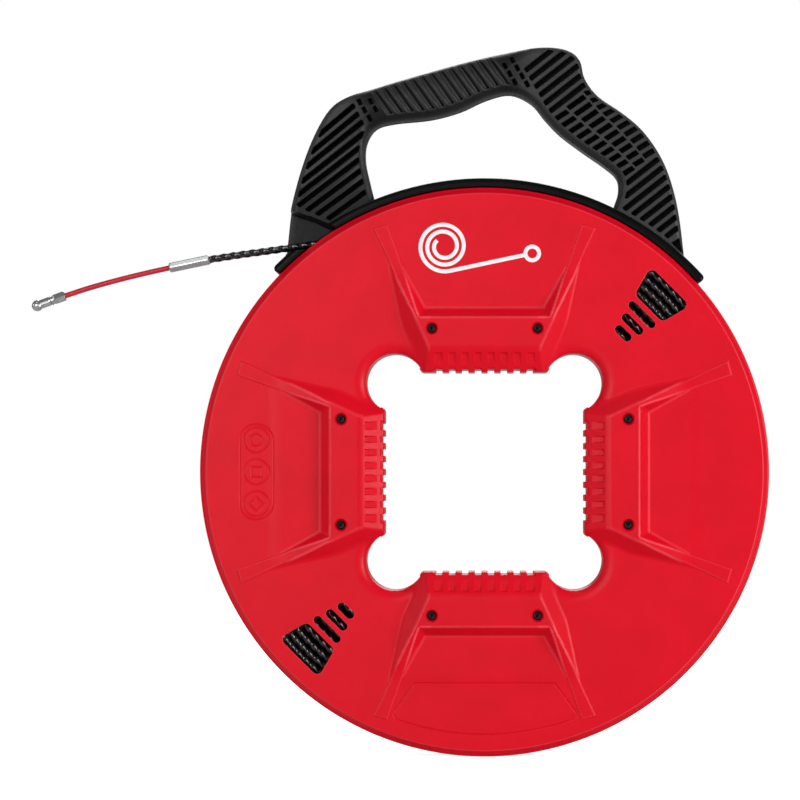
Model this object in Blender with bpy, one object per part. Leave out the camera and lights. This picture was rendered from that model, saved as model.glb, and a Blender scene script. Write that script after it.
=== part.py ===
"""A hand-spun fish tape reel: a ring-shaped case in two halves that turns in a handle's shoe, with the coil of
twisted tape inside it and the tape's free end, leader and pulling eye leaving past the handle.

Everything is modelled face on, with x to the right, y up and z towards the front of the reel, and hangs on an
empty that stands the reel upright: its axis then lies along the world's Y, with its front towards -Y. The origin
is the middle of the case, on its axis. All lengths are in metres.
"""

import math

import bmesh
import bpy
from mathutils import Matrix, Vector

# Running gap that touching pieces keep, and how far a cutter runs past what it cuts.
GAP = 0.0003
PAST = 0.004

# The case: two half shells, open round the rim, screwed together round the hand opening.
CASE_RADIUS = 0.175
CASE_STEPS = 60
COIL_STEPS = 48
FINE_ROUND = 12
SMALL_ROUND = 10
FACE_HEIGHT = 0.0215
FACE_EDGE_RADIUS = 0.1716
RIM_SHOULDER_HEIGHT = 0.0188
RIM_SHOULDER_RADIUS = 0.1744
WALL = 0.003
SLOT_HALF_WIDTH = 0.0044
DRUM_RADIUS = 0.102
DRUM_BACK_RADIUS = 0.0985

# The hand opening: a square whose ribbed sides end in round lobes at the corners.
RIB_TIP = 0.0615
RIB_GROOVE = 0.0631
RIB_PITCH = 0.008
RIB_GROOVES = 8
SIDE_HALF_LENGTH = 0.038
LOBE_CENTRE = 0.055
LOBE_RADIUS = 0.0179
LOBE_START_DEG = 35.0
LOBE_STEPS = 9

# The raised frame on each side of the opening: a flat strip, and two arms that ramp down towards the rim.
FRAME_HEIGHT = 0.0075
PAD_HEIGHT = 0.0007
STRIP_INNER = (0.0335, 0.0748)
STRIP_OUTER = (0.0436, 0.0970)
RAMP_END = (0.0570, 0.1250)
ARM_INNER = (0.0485, 0.1210)
ARM_END_OUTER = (0.0685, 0.1496)
ARM_END_INNER = (0.0594, 0.1522)
FLANK_FOOT = ((0.0400, 0.0640), (0.0465, 0.0797), (0.0509, 0.0935), (0.0572, 0.1255))
OPENING_LIP = (0.0385, 0.0618, 0.0010)
RECESS_FLOOR = ((0.0363, 0.1012), (0.0502, 0.1260), (0.0620, 0.1600))
RECESS_MOUTH = ((0.0398, 0.0947), (0.0505, 0.1260), (0.0623, 0.1600))

# The hollow behind each strip, which holds two screw bosses.
POCKET_RIM = ((0.0360, 0.0670), (0.0480, 0.0770))
POCKET_SIDE = 0.048
POCKET_SHELF_HEIGHT = 0.0190
POCKET_ROOF_HEIGHT = 0.0260
POCKET_ROOF = ((0.0280, 0.0780), (0.0320, 0.0920))

# Case screws, eight in all, two through each strip.
SCREW_PLACE = (0.0324, 0.0880)
BOSS_RADIUS = 0.0048
SCREW_HEAD_RADIUS = 0.0031
SCREW_HEAD_HEIGHT = 0.0024
SCREW_SHANK_RADIUS = 0.0018
SCREW_SEAT_HEIGHT = 0.0250
SCREW_SHANK_LENGTH = 0.0420
SCREW_WELL_RADIUS = 0.00355
PILOT_DEPTH = 0.0190

# Windows on the shells' 45 and 225 degree diagonals: (inner radius, outer radius, half length inside, outside).
WINDOWS = (
    (0.1423, 0.1626, 0.0115, 0.0164),
    (0.1345, 0.1392, 0.0103, 0.0103),
    (0.1262, 0.1311, 0.0080, 0.0080),
    (0.1183, 0.1232, 0.0059, 0.0059),
)
WINDOW_ANGLES_DEG = (45.0, 225.0)
WINDOW_CORNER = 0.0018

# The tape: 60 m of twisted polyester wound in the case, with a groove round the coil for the run that leaves it.
TAPE_RADIUS = 0.0024
COIL_INNER_RADIUS = 0.1062
COIL_OUTER_RADIUS = 0.1645
COIL_HALF_WIDTH = 0.0172
COIL_GROOVE_RADIUS = 0.1518
COIL_GROOVE_HALF_WIDTH = 0.0036

# Handle: an arch on a curved shoe that rides on the case's rim.
SHOE_INNER_RADIUS = 0.1755
SHOE_OUTER_RADIUS = 0.1809
SHOE_HALF_WIDTH = 0.0190
SHOE_START_DEG = 42.2
SHOE_END_DEG = 135.3
SHOE_STEPS = 30
SHOE_EDGE = 0.0012
ARCH_HALF_WIDTH = 0.0140
ARCH_EDGE = 0.0040
ARCH_OUTSIDE = (
    (-0.1236, 0.1240),
    (-0.1216, 0.1440),
    (-0.1192, 0.1630),
    (-0.1127, 0.1875),
    (-0.1050, 0.2075),
    (-0.0955, 0.2235),
    (-0.0840, 0.2315),
    (-0.0640, 0.2386),
    (-0.0350, 0.2471),
    (-0.0050, 0.2552),
    (0.0200, 0.2602),
    (0.0391, 0.2619),
    (0.0520, 0.2596),
    (0.0588, 0.2535),
    (0.0618, 0.2425),
    (0.0700, 0.2316),
    (0.0850, 0.2213),
    (0.0975, 0.2104),
    (0.1081, 0.1954),
    (0.1150, 0.1790),
    (0.1200, 0.1575),
    (0.1240, 0.1240),
)
ARCH_INSIDE = (
    (0.0760, 0.1520),
    (0.0800, 0.1640),
    (0.0828, 0.1730),
    (0.0818, 0.1815),
    (0.0742, 0.1886),
    (0.0600, 0.1985),
    (0.0465, 0.2087),
    (0.0373, 0.2182),
    (0.0290, 0.2278),
    (0.0160, 0.2330),
    (0.0010, 0.2296),
    (-0.0150, 0.2224),
    (-0.0330, 0.2176),
    (-0.0550, 0.2152),
    (-0.0666, 0.2118),
    (-0.0728, 0.2030),
    (-0.0735, 0.1920),
    (-0.0708, 0.1790),
    (-0.0680, 0.1680),
    (-0.0640, 0.1550),
)
CHUTE = (
    (-0.1400, 0.1690),
    (-0.1190, 0.1612),
    (-0.1050, 0.1568),
    (-0.0900, 0.1500),
    (-0.0820, 0.1420),
    (-0.0880, 0.1403),
    (-0.1400, 0.1327),
)
CHUTE_WALL_HEIGHT = -0.0029

# Rib pockets in both faces of the arch: (one end, other end), each pocket RIB_POCKET_WIDTH across.
RIB_POCKET_WIDTH = 0.0042
RIB_POCKET_DEPTH = 0.0045
RIB_POCKETS = (
    ((-0.1120, 0.1700), (-0.0790, 0.1930)),
    ((-0.1100, 0.1790), (-0.0800, 0.2000)),
    ((-0.1070, 0.1880), (-0.0790, 0.2080)),
    ((-0.1030, 0.1980), (-0.0770, 0.2160)),
    ((-0.0980, 0.2080), (-0.0760, 0.2240)),
    ((-0.1060, 0.1650), (-0.0760, 0.1860)),
    ((-0.0990, 0.1620), (-0.0760, 0.1780)),
    ((0.0240, 0.2500), (0.0370, 0.2560)),
    ((0.0240, 0.2430), (0.0480, 0.2530)),
    ((0.0300, 0.2370), (0.0540, 0.2470)),
    ((0.0370, 0.2300), (0.0560, 0.2390)),
    ((0.0430, 0.2220), (0.0620, 0.2310)),
    ((0.0860, 0.1830), (0.1060, 0.1910)),
    ((0.0860, 0.1740), (0.1090, 0.1830)),
    ((0.0890, 0.1660), (0.1120, 0.1750)),
    ((0.0930, 0.1590), (0.1140, 0.1670)),
    ((0.0990, 0.1520), (0.1150, 0.1590)),
)

# The rail under the shoe: a flange behind the shells' lips, on a web through the slot between them.
RAIL_START_DEG = 44.0
RAIL_END_DEG = 117.0
RAIL_STEPS = 20
RAIL_INNER_RADIUS = 0.1670
RAIL_OUTER_RADIUS = 0.1714
RAIL_HALF_WIDTH = 0.0095
WEB_INSET_DEG = 0.7
WEB_OUTER_RADIUS = SHOE_INNER_RADIUS - GAP
WEB_HALF_WIDTH = 0.0039
RAIL_SCREW_ANGLES_DEG = (50.0, 61.0, 90.0, 114.0)
RAIL_SCREW_SEAT_RADIUS = 0.1696
RAIL_SCREW_HEAD_RADIUS = 0.0026
RAIL_SCREW_HEAD_HEIGHT = 0.0018
RAIL_SCREW_SHANK_RADIUS = 0.0014
RAIL_SCREW_SHANK_LENGTH = 0.0098

# The tape's anchored end: a clip on the drum wall of the back shell.
CLIP_INNER_RADIUS = DRUM_RADIUS + GAP
CLIP_OUTER_RADIUS = 0.1057
CLIP_HALF_ANGLE_DEG = 5.0
CLIP_LOW = -0.0125
CLIP_HIGH = -0.0045
CLIP_MIDDLE = (CLIP_LOW + CLIP_HIGH) / 2
CLIP_SCREW_SEAT_RADIUS = 0.1044
CLIP_SCREW_SHANK_LENGTH = 0.0095

# The free end. The tape leaves the coil along a straight line that passes TAPE_LINE_RADIUS from the axis.
TAPE_LINE_RADIUS = 0.15475
TAPE_LINE_DEG = 98.3
LEAD_START = 0.010
LEAD_END = 0.076
TAIL_ROUTE = ((-0.0978, 0.1421), (-0.1150, 0.1396), (-0.1330, 0.1370), (-0.1520, 0.1344), (-0.1705, 0.1315))
LEADER_ROUTE = (
    (-0.1935, 0.1268),
    (-0.2100, 0.1231),
    (-0.2270, 0.1189),
    (-0.2440, 0.1142),
    (-0.2610, 0.1087),
)
FERRULE_ENDS = ((-0.1702, 0.1316), (-0.1952, 0.1264))
FERRULE_RADIUS = 0.0031
FERRULE_BORE_RADIUS = TAPE_RADIUS + GAP
FERRULE_BORE_DEPTH = 0.004
LEADER_RADIUS = 0.00165
SLEEVE_ENDS = ((-0.2598, 0.1092), (-0.2684, 0.1061))
SLEEVE_RADIUS = 0.0030
EYE_END = (-0.2802, 0.1018)
EYE_NECK_RADIUS = 0.0023
EYE_BALL_RADIUS = 0.0034
EYE_SLOT_HALF_WIDTH = 0.0005
EYE_SLOT_ENDS = (0.0012, 0.0088)

# What each material looks like: colour, roughness, metallic.
FINISHES = {
    "shell_red": ((0.68, 0.012, 0.030), 0.42, 0.0),
    "handle_black": ((0.018, 0.018, 0.019), 0.45, 0.0),
    "rail_acetal": ((0.80, 0.79, 0.75), 0.35, 0.0),
    "screw_black": ((0.025, 0.025, 0.027), 0.30, 1.0),
    "tape_black": ((0.015, 0.015, 0.016), 0.28, 0.0),
    "leader_red": ((0.55, 0.012, 0.030), 0.30, 0.0),
    "bright_steel": ((0.66, 0.67, 0.68), 0.22, 1.0),
}


def clear_scene():
    """Removes what the file opened with."""
    for obj in list(bpy.data.objects):
        bpy.data.objects.remove(obj)


def make_collection(name):
    """A new collection in the scene."""
    made = bpy.data.collections.new(name)
    bpy.context.scene.collection.children.link(made)
    return made


def make_materials():
    """One Principled material for each finish."""
    made = {}
    for name, (colour, roughness, metallic) in FINISHES.items():
        material = bpy.data.materials.new(name)
        material.use_nodes = True
        shader = material.node_tree.nodes["Principled BSDF"]
        shader.inputs["Base Color"].default_value = (*colour, 1.0)
        shader.inputs["Roughness"].default_value = roughness
        shader.inputs["Metallic"].default_value = metallic
        made[name] = material
    return made


class Bench:
    """The scene's collections, materials and the empty that stands the reel upright."""

    def __init__(self):
        clear_scene()
        self.parts = make_collection("fish_tape_reel")
        self.cutters = make_collection("cutters")
        self.materials = make_materials()
        self.upright = bpy.data.objects.new("upright", None)
        self.upright.rotation_euler = (math.radians(90), 0, 0)
        self.parts.objects.link(self.upright)

    def place(self, name, mesh, finish, matrix=None):
        """A part of the reel, set in the face-on frame by its matrix."""
        obj = bpy.data.objects.new(name, mesh)
        self.parts.objects.link(obj)
        obj.parent = self.upright
        obj.matrix_basis = matrix or Matrix.Identity(4)
        if not mesh.materials:
            mesh.materials.append(self.materials[finish])
        return obj

    def tool(self, name, mesh, target):
        """A helper shape in the frame of the part it works on."""
        obj = bpy.data.objects.new(name, mesh)
        self.cutters.objects.link(obj)
        obj.parent = target.parent
        obj.matrix_basis = target.matrix_basis.copy()
        obj.hide_render = True
        obj.display_type = "WIRE"
        return obj

    def boolean(self, target, mesh, operation):
        """Joins a mesh to a part, or cuts it out."""
        helper = self.tool(f"{target.name}_{operation.lower()}_{len(target.modifiers)}", mesh, target)
        modifier = target.modifiers.new(helper.name, "BOOLEAN")
        modifier.operation = operation
        modifier.solver = "EXACT"
        modifier.object = helper

    def cut(self, target, mesh):
        """Cuts a mesh out of a part."""
        self.boolean(target, mesh, "DIFFERENCE")

    def join(self, target, mesh):
        """Joins a mesh to a part."""
        self.boolean(target, mesh, "UNION")


def finish_mesh(name, shape, sharp_deg=35.0):
    """A mesh from a bmesh, shaded smooth where it is round."""
    bmesh.ops.recalc_face_normals(shape, faces=shape.faces)
    mesh = bpy.data.meshes.new(name)
    shape.to_mesh(mesh)
    shape.free()
    mesh.shade_smooth()
    mesh.set_sharp_from_angle(angle=math.radians(sharp_deg))
    return mesh


def polar(radius, degrees):
    """The point at this radius and angle, counted from +x towards +y."""
    return (radius * math.cos(math.radians(degrees)), radius * math.sin(math.radians(degrees)))


def arc(radius, start_deg, end_deg, steps, centre=(0.0, 0.0)):
    """Points along a circular arc, both ends included."""
    points = []
    for i in range(steps + 1):
        x, y = polar(radius, start_deg + (end_deg - start_deg) * i / steps)
        points.append((centre[0] + x, centre[1] + y))
    return points


def quarter_turn(points, turns):
    """Plane points turned by quarter turns about the axis."""
    cos, sin = ((1, 0), (0, 1), (-1, 0), (0, -1))[turns % 4]
    return [(x * cos - y * sin, x * sin + y * cos) for x, y in points]


def turned_matrix(degrees):
    """A turn about the reel's axis."""
    return Matrix.Rotation(math.radians(degrees), 4, "Z")


def both_sides(points):
    """Plane points, and the same ones mirrored in x."""
    return [*points, *((-x, y) for x, y in points)]


def at_height(points, height):
    """Plane points lifted to a height."""
    return [(x, y, height) for x, y in points]


def prism_shape(outline, low, high):
    """A bmesh of a plane outline extruded from one height to another."""
    shape = bmesh.new()
    base = shape.faces.new([shape.verts.new((x, y, low)) for x, y in outline])
    grown = bmesh.ops.extrude_face_region(shape, geom=[base])
    lifted = [v for v in grown["geom"] if isinstance(v, bmesh.types.BMVert)]
    bmesh.ops.translate(shape, verts=lifted, vec=(0, 0, high - low))
    return shape


def prism(name, outline, low, high):
    """A mesh of a plane outline extruded from one height to another."""
    return finish_mesh(name, prism_shape(outline, low, high))


def bevelled_prism(name, outline, low, high, width, segments=2):
    """A prism whose end faces have rounded edges."""
    shape = prism_shape(outline, low, high)
    bmesh.ops.recalc_face_normals(shape, faces=shape.faces)
    rims = [e for e in shape.edges if abs(e.verts[0].co.z - e.verts[1].co.z) < GAP]
    bmesh.ops.bevel(shape, geom=rims, offset=width, segments=segments, profile=0.5, affect="EDGES")
    return finish_mesh(name, shape)


def add_hull(shape, points):
    """Adds the convex hull of some points to a bmesh."""
    fresh = [shape.verts.new(p) for p in points]
    made = bmesh.ops.convex_hull(shape, input=fresh)
    spare = {v for v in made["geom_interior"] if isinstance(v, bmesh.types.BMVert) and v.is_valid}
    bmesh.ops.delete(shape, geom=list(spare), context="VERTS")


def hulls_round_axis(name, hulls, angles_deg=(0, 90, 180, 270)):
    """A mesh of convex hulls repeated at each angle round the axis."""
    shape = bmesh.new()
    for angle in angles_deg:
        turn = turned_matrix(angle)
        for points in hulls:
            add_hull(shape, [turn @ Vector(p) for p in points])
    return finish_mesh(name, shape)


def ring(name, profile, steps=CASE_STEPS):
    """A closed (radius, height) profile turned once round the reel's axis."""
    shape = bmesh.new()
    loops = []
    for i in range(steps):
        x, y = polar(1.0, 360 * i / steps)
        loops.append([shape.verts.new((r * x, r * y, h)) for r, h in profile])
    for i, loop in enumerate(loops):
        onward = loops[(i + 1) % steps]
        for j in range(len(profile)):
            k = (j + 1) % len(profile)
            shape.faces.new((loop[j], onward[j], onward[k], loop[k]))
    return finish_mesh(name, shape)


def cylinder_shape(shape, radius, low, high, centre=(0.0, 0.0), steps=SMALL_ROUND):
    """Adds a cylinder along z to a bmesh."""
    bmesh.ops.create_cone(
        shape,
        cap_ends=True,
        segments=steps,
        radius1=radius,
        radius2=radius,
        depth=high - low,
        matrix=Matrix.Translation((*centre, (low + high) / 2)),
    )


def cylinders(name, specs, steps=SMALL_ROUND):
    """A mesh of separate cylinders, each (centre, radius, low, high)."""
    shape = bmesh.new()
    for centre, radius, low, high in specs:
        cylinder_shape(shape, radius, low, high, centre, steps)
    return finish_mesh(name, shape)


def smooth_through(points, per_span):
    """Points on a smooth curve through some points (Catmull-Rom), both ends included."""
    known = [Vector(p) for p in points]
    padded = [2 * known[0] - known[1], *known, 2 * known[-1] - known[-2]]
    out = []
    for i in range(1, len(padded) - 2):
        a, b, c, d = padded[i - 1 : i + 3]
        for j in range(per_span):
            t = j / per_span
            out.append(
                0.5 * (2 * b + (c - a) * t + (2 * a - 5 * b + 4 * c - d) * t * t + (3 * b - a - 3 * c + d) * t**3)
            )
    out.append(known[-1])
    return out


def screw_places():
    """The centres of the case screws."""
    places = []
    for turns in range(4):
        places += quarter_turn(both_sides([SCREW_PLACE]), turns)
    return places


def opening_outline():
    """The hand opening's outline, anticlockwise."""
    side = [(SIDE_HALF_LENGTH, RIB_TIP)]
    for i in range(RIB_GROOVES):
        middle = RIB_PITCH * ((RIB_GROOVES - 1) / 2 - i)
        near, far = middle + RIB_PITCH / 4, middle - RIB_PITCH / 4
        side += [(near, RIB_TIP), (near, RIB_GROOVE), (far, RIB_GROOVE), (far, RIB_TIP)]
    side.append((-SIDE_HALF_LENGTH, RIB_TIP))
    lobe = arc(LOBE_RADIUS, LOBE_START_DEG, 270 - LOBE_START_DEG, LOBE_STEPS, (-LOBE_CENTRE, LOBE_CENTRE))
    outline = []
    for turns in range(4):
        outline += quarter_turn(side + lobe, turns)
    return outline


def chamfered(corners, cut):
    """An outline with each corner cut back by the same length along both sides."""
    outline = []
    known = [Vector(c) for c in corners]
    for i, corner in enumerate(known):
        before, after = known[i - 1], known[(i + 1) % len(known)]
        outline.append(tuple(corner + (before - corner).normalized() * cut))
        outline.append(tuple(corner + (after - corner).normalized() * cut))
    return outline


def windows_mesh(name, low, high):
    """Cutters for every window."""
    shape = bmesh.new()
    for angle in WINDOW_ANGLES_DEG:
        for inner, outer, short, long in WINDOWS:
            corners = ((inner, -short), (outer, -long), (outer, long), (inner, short))
            outline = chamfered(corners, WINDOW_CORNER)
            points = at_height(outline, low) + at_height(outline, high)
            add_hull(shape, [turned_matrix(angle) @ Vector(p) for p in points])
    return finish_mesh(name, shape)


def raised_frame_hulls():
    """The convex blocks of one raised frame: the sloped block round the strip, and a thin pad for each arm."""
    top = FACE_HEIGHT + FRAME_HEIGHT
    root = FACE_HEIGHT - WALL / 2
    block = at_height(both_sides(FLANK_FOOT), root) + at_height(both_sides(FLANK_FOOT), FACE_HEIGHT)
    block += at_height(both_sides([OPENING_LIP[:2]]), FACE_HEIGHT + OPENING_LIP[2])
    block += at_height(both_sides([OPENING_LIP[:2]]), root)
    block += at_height(both_sides([STRIP_INNER, STRIP_OUTER]), top)
    block += at_height(both_sides([RAMP_END]), FACE_HEIGHT + PAD_HEIGHT)
    hulls = [block]
    for side in (1, -1):
        outline = [(side * x, y) for x, y in (ARM_INNER, RAMP_END, ARM_END_OUTER, ARM_END_INNER)]
        hulls.append(at_height(outline, root) + at_height(outline, FACE_HEIGHT + PAD_HEIGHT))
    return hulls


def join_round_axis(bench, body, name, hulls):
    """Joins each hull to a part at the four sides of the opening."""
    for i, points in enumerate(hulls):
        bench.join(body, hulls_round_axis(f"{name}_{i}", [points]))


def recess_hull():
    """The tapered hollow between a frame's arms, whose floor is level with the case's face."""
    floor = at_height(both_sides(RECESS_FLOOR), FACE_HEIGHT)
    return floor + at_height(both_sides(RECESS_MOUTH), FACE_HEIGHT + FRAME_HEIGHT + GAP)


def pocket_hull():
    """The hollow behind a strip, between the opening's wall and the coil's drum wall."""
    side_deg = math.degrees(math.acos(POCKET_SIDE / DRUM_BACK_RADIUS))
    rim = both_sides(POCKET_RIM) + arc(DRUM_BACK_RADIUS, side_deg, 180 - side_deg, 10)
    hull = at_height(rim, -PAST) + at_height(rim, POCKET_SHELF_HEIGHT)
    return hull + at_height(both_sides(POCKET_ROOF), POCKET_ROOF_HEIGHT)


def make_shell(bench, name, matrix):
    """A half shell, blank for its screws: its inner side at z = 0 and its face towards +z."""
    profile = (
        (LOBE_CENTRE, GAP / 2),
        (CASE_RADIUS, GAP / 2),
        (CASE_RADIUS, RIM_SHOULDER_HEIGHT - WALL / 2),
        (RIM_SHOULDER_RADIUS, RIM_SHOULDER_HEIGHT),
        (FACE_EDGE_RADIUS, FACE_HEIGHT),
        (LOBE_CENTRE, FACE_HEIGHT),
    )
    body = bench.place(name, ring(name, profile), "shell_red", matrix)
    join_round_axis(bench, body, "frame", raised_frame_hulls())
    bench.cut(body, hulls_round_axis("recess", [recess_hull()]))
    bench.cut(body, hulls_round_axis("pocket", [pocket_hull()]))
    top = FACE_HEIGHT + FRAME_HEIGHT
    bosses = [(c, BOSS_RADIUS, GAP / 2, POCKET_ROOF_HEIGHT + WALL / 2) for c in screw_places()]
    bench.join(body, cylinders("bosses", bosses))
    bench.cut(body, prism("opening", opening_outline(), -PAST, top + PAST))
    past_rim = CASE_RADIUS + PAST
    inside = CASE_RADIUS - WALL
    channel = (
        (DRUM_RADIUS, -PAST),
        (past_rim, -PAST),
        (past_rim, SLOT_HALF_WIDTH),
        (inside, SLOT_HALF_WIDTH),
        (inside, FACE_HEIGHT - 1.5 * WALL),
        (inside - WALL / 2, FACE_HEIGHT - WALL),
        (DRUM_RADIUS, FACE_HEIGHT - WALL),
    )
    bench.cut(body, ring("channel", channel))
    bench.cut(body, windows_mesh("windows", FACE_HEIGHT - 2 * WALL, FACE_HEIGHT + WALL))
    return body


def make_front_shell(bench):
    """The front half, with a well for each screw's head and a clearance hole under it."""
    body = make_shell(bench, "front_shell", Matrix.Identity(4))
    top = FACE_HEIGHT + FRAME_HEIGHT + PAST
    holes = [(c, SCREW_SHANK_RADIUS + GAP, -PAST, top) for c in screw_places()]
    wells = [(c, SCREW_WELL_RADIUS, SCREW_SEAT_HEIGHT - GAP, top) for c in screw_places()]
    bench.cut(body, cylinders("screw_holes", holes))
    bench.cut(body, cylinders("screw_wells", wells, FINE_ROUND))


def make_back_shell(bench):
    """The back half, the same shape turned round, with blind pilot holes and the clip screw's hole."""
    about = Matrix.Rotation(math.pi, 4, "Y")
    body = make_shell(bench, "back_shell", about)
    pilots = [(c, SCREW_SHANK_RADIUS + GAP, -PAST, PILOT_DEPTH) for c in screw_places()]
    bench.cut(body, cylinders("pilot_holes", pilots))
    shape = bmesh.new()
    cylinder_shape(shape, RAIL_SCREW_SHANK_RADIUS + GAP, DRUM_BACK_RADIUS - WALL, DRUM_RADIUS + PAST)
    bmesh.ops.transform(shape, matrix=about.inverted() @ clip_matrix(), verts=shape.verts)
    bench.cut(body, finish_mesh("clip_hole", shape))


def screw_mesh(name, head_radius, head_height, shank_radius, shank_length, steps=SMALL_ROUND):
    """A pan-head screw with a six-sided socket, its seat at z = 0 and its head towards +z."""
    shape = bmesh.new()
    profile = (
        (0.55 * shank_radius, -shank_length),
        (shank_radius, -shank_length + 1.5 * shank_radius),
        (shank_radius, 0.0),
        (head_radius, 0.0),
        (head_radius, 0.6 * head_height),
        (0.8 * head_radius, head_height),
        (0.5 * head_radius, head_height),
        (0.42 * head_radius, 0.4 * head_height),
    )
    loops = []
    for r, h in profile:
        loops.append([shape.verts.new((*polar(r, 360 * i / steps), h)) for i in range(steps)])
    for low, high in zip(loops, loops[1:]):
        for i in range(steps):
            j = (i + 1) % steps
            shape.faces.new((low[i], low[j], high[j], high[i]))
    shape.faces.new(loops[0])
    shape.faces.new(loops[-1])
    return finish_mesh(name, shape)


def make_case_screws(bench):
    """The eight screws that hold the shells together."""
    mesh = screw_mesh(
        "case_screw", SCREW_HEAD_RADIUS, SCREW_HEAD_HEIGHT, SCREW_SHANK_RADIUS, SCREW_SHANK_LENGTH
    )
    for i, (x, y) in enumerate(screw_places(), 1):
        bench.place(f"case_screw_{i}", mesh, "screw_black", Matrix.Translation((x, y, SCREW_SEAT_HEIGHT)))


def make_coil(bench):
    """The wound tape as one turned body, with the groove that its leaving run lies in."""
    profile = (
        (COIL_INNER_RADIUS, -COIL_HALF_WIDTH),
        (COIL_OUTER_RADIUS, -COIL_HALF_WIDTH),
        (COIL_OUTER_RADIUS, -COIL_GROOVE_HALF_WIDTH),
        (COIL_GROOVE_RADIUS, -COIL_GROOVE_HALF_WIDTH),
        (COIL_GROOVE_RADIUS, COIL_GROOVE_HALF_WIDTH),
        (COIL_OUTER_RADIUS, COIL_GROOVE_HALF_WIDTH),
        (COIL_OUTER_RADIUS, COIL_HALF_WIDTH),
        (COIL_INNER_RADIUS, COIL_HALF_WIDTH),
    )
    bench.place("tape_coil", ring("tape_coil", profile, COIL_STEPS), "tape_black")


def radial_matrix(radius, degrees, height=0.0):
    """Puts a piece's own +z along the inward radius at this angle, with its origin at that radius."""
    inward = turned_matrix(degrees) @ Matrix.Rotation(-math.pi / 2, 4, "Y")
    return Matrix.Translation((*polar(radius, degrees), height)) @ inward


def clip_matrix():
    """Puts a piece's own +z along the outward radius through the clip."""
    return Matrix.Translation((0, 0, CLIP_MIDDLE)) @ Matrix.Rotation(math.pi / 2, 4, "Y")


def sector(inner, outer, start_deg, end_deg, steps):
    """The outline of part of a ring."""
    return arc(outer, start_deg, end_deg, steps) + arc(inner, end_deg, start_deg, steps)


def make_anchor(bench):
    """The clip that holds the tape's inner end to the drum wall, and its screw."""
    outline = sector(CLIP_INNER_RADIUS, CLIP_OUTER_RADIUS, -CLIP_HALF_ANGLE_DEG, CLIP_HALF_ANGLE_DEG, 4)
    clip = bench.place("anchor_clip", prism("anchor_clip", outline, CLIP_LOW, CLIP_HIGH), "bright_steel")
    well = (RAIL_SCREW_HEAD_RADIUS + GAP, CLIP_SCREW_SEAT_RADIUS - GAP)
    for radius, low in ((RAIL_SCREW_SHANK_RADIUS + GAP, DRUM_RADIUS - PAST), well):
        shape = bmesh.new()
        cylinder_shape(shape, radius, low, CLIP_OUTER_RADIUS + PAST)
        bmesh.ops.transform(shape, matrix=clip_matrix(), verts=shape.verts)
        bench.cut(clip, finish_mesh("clip_hole", shape))
    mesh = screw_mesh(
        "anchor_screw", RAIL_SCREW_HEAD_RADIUS, WALL / 3, RAIL_SCREW_SHANK_RADIUS, CLIP_SCREW_SHANK_LENGTH
    )
    seat = Matrix.Translation((0, 0, CLIP_SCREW_SEAT_RADIUS))
    bench.place("anchor_screw", mesh, "bright_steel", clip_matrix() @ seat)


def arch_outline():
    """The handle's arch from its left foot over the grip to its right foot, and back along the hand opening."""
    return [tuple(p) for p in smooth_through(ARCH_OUTSIDE, 2) + smooth_through(ARCH_INSIDE, 2)]


def rib_pockets_mesh():
    """Cutters for the pockets between the arch's ribs, in both faces."""
    shape = bmesh.new()
    floor = ARCH_HALF_WIDTH - RIB_POCKET_DEPTH
    for ends in RIB_POCKETS:
        a, b = (Vector(p) for p in ends)
        across = (b - a).normalized().orthogonal() * RIB_POCKET_WIDTH / 2
        corners = [tuple(p) for p in (a + across, a - across, b - across, b + across)]
        for low, high in ((floor, ARCH_HALF_WIDTH + PAST), (-ARCH_HALF_WIDTH - PAST, -floor)):
            add_hull(shape, at_height(corners, low) + at_height(corners, high))
    return finish_mesh("rib_pockets", shape)


def shoe_outline():
    """The shoe from the front: part of a ring with rounded tips, thicker inside than the rim space leaves it."""
    inner = SHOE_INNER_RADIUS - WALL / 2
    middle = (inner + SHOE_OUTER_RADIUS) / 2
    tip = (SHOE_OUTER_RADIUS - inner) / 2
    outline = arc(SHOE_OUTER_RADIUS, SHOE_START_DEG, SHOE_END_DEG, SHOE_STEPS)
    outline += arc(tip, SHOE_END_DEG, SHOE_END_DEG + 180, 4, polar(middle, SHOE_END_DEG))[1:-1]
    outline += arc(inner, SHOE_END_DEG, SHOE_START_DEG, SHOE_STEPS // 2)
    outline += arc(tip, SHOE_START_DEG + 180, SHOE_START_DEG + 360, 4, polar(middle, SHOE_START_DEG))[1:-1]
    return outline


def make_handle(bench):
    """Arch and shoe in one moulding, with the chute that the tape leaves by cut into its front."""
    shoe = bevelled_prism("shoe", shoe_outline(), -SHOE_HALF_WIDTH, SHOE_HALF_WIDTH, SHOE_EDGE, 1)
    handle = bench.place("handle_frame", shoe, "handle_black")
    arch = bevelled_prism("arch", arch_outline(), -ARCH_HALF_WIDTH, ARCH_HALF_WIDTH, ARCH_EDGE)
    bench.join(handle, arch)
    under_shoe = ring("rim_space", sector_profile(CASE_RADIUS - 5 * WALL, SHOE_INNER_RADIUS))
    bench.cut(handle, under_shoe)
    bench.cut(handle, prism("chute", CHUTE, CHUTE_WALL_HEIGHT, SHOE_HALF_WIDTH + PAST))
    bench.cut(handle, rib_pockets_mesh())
    bench.cut(handle, rail_screw_holes(WEB_OUTER_RADIUS - PAST))


def sector_profile(inner, outer):
    """The profile of a ring of space as wide as the shoe."""
    reach = SHOE_HALF_WIDTH + PAST
    return ((inner, -reach), (outer, -reach), (outer, reach), (inner, reach))


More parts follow.
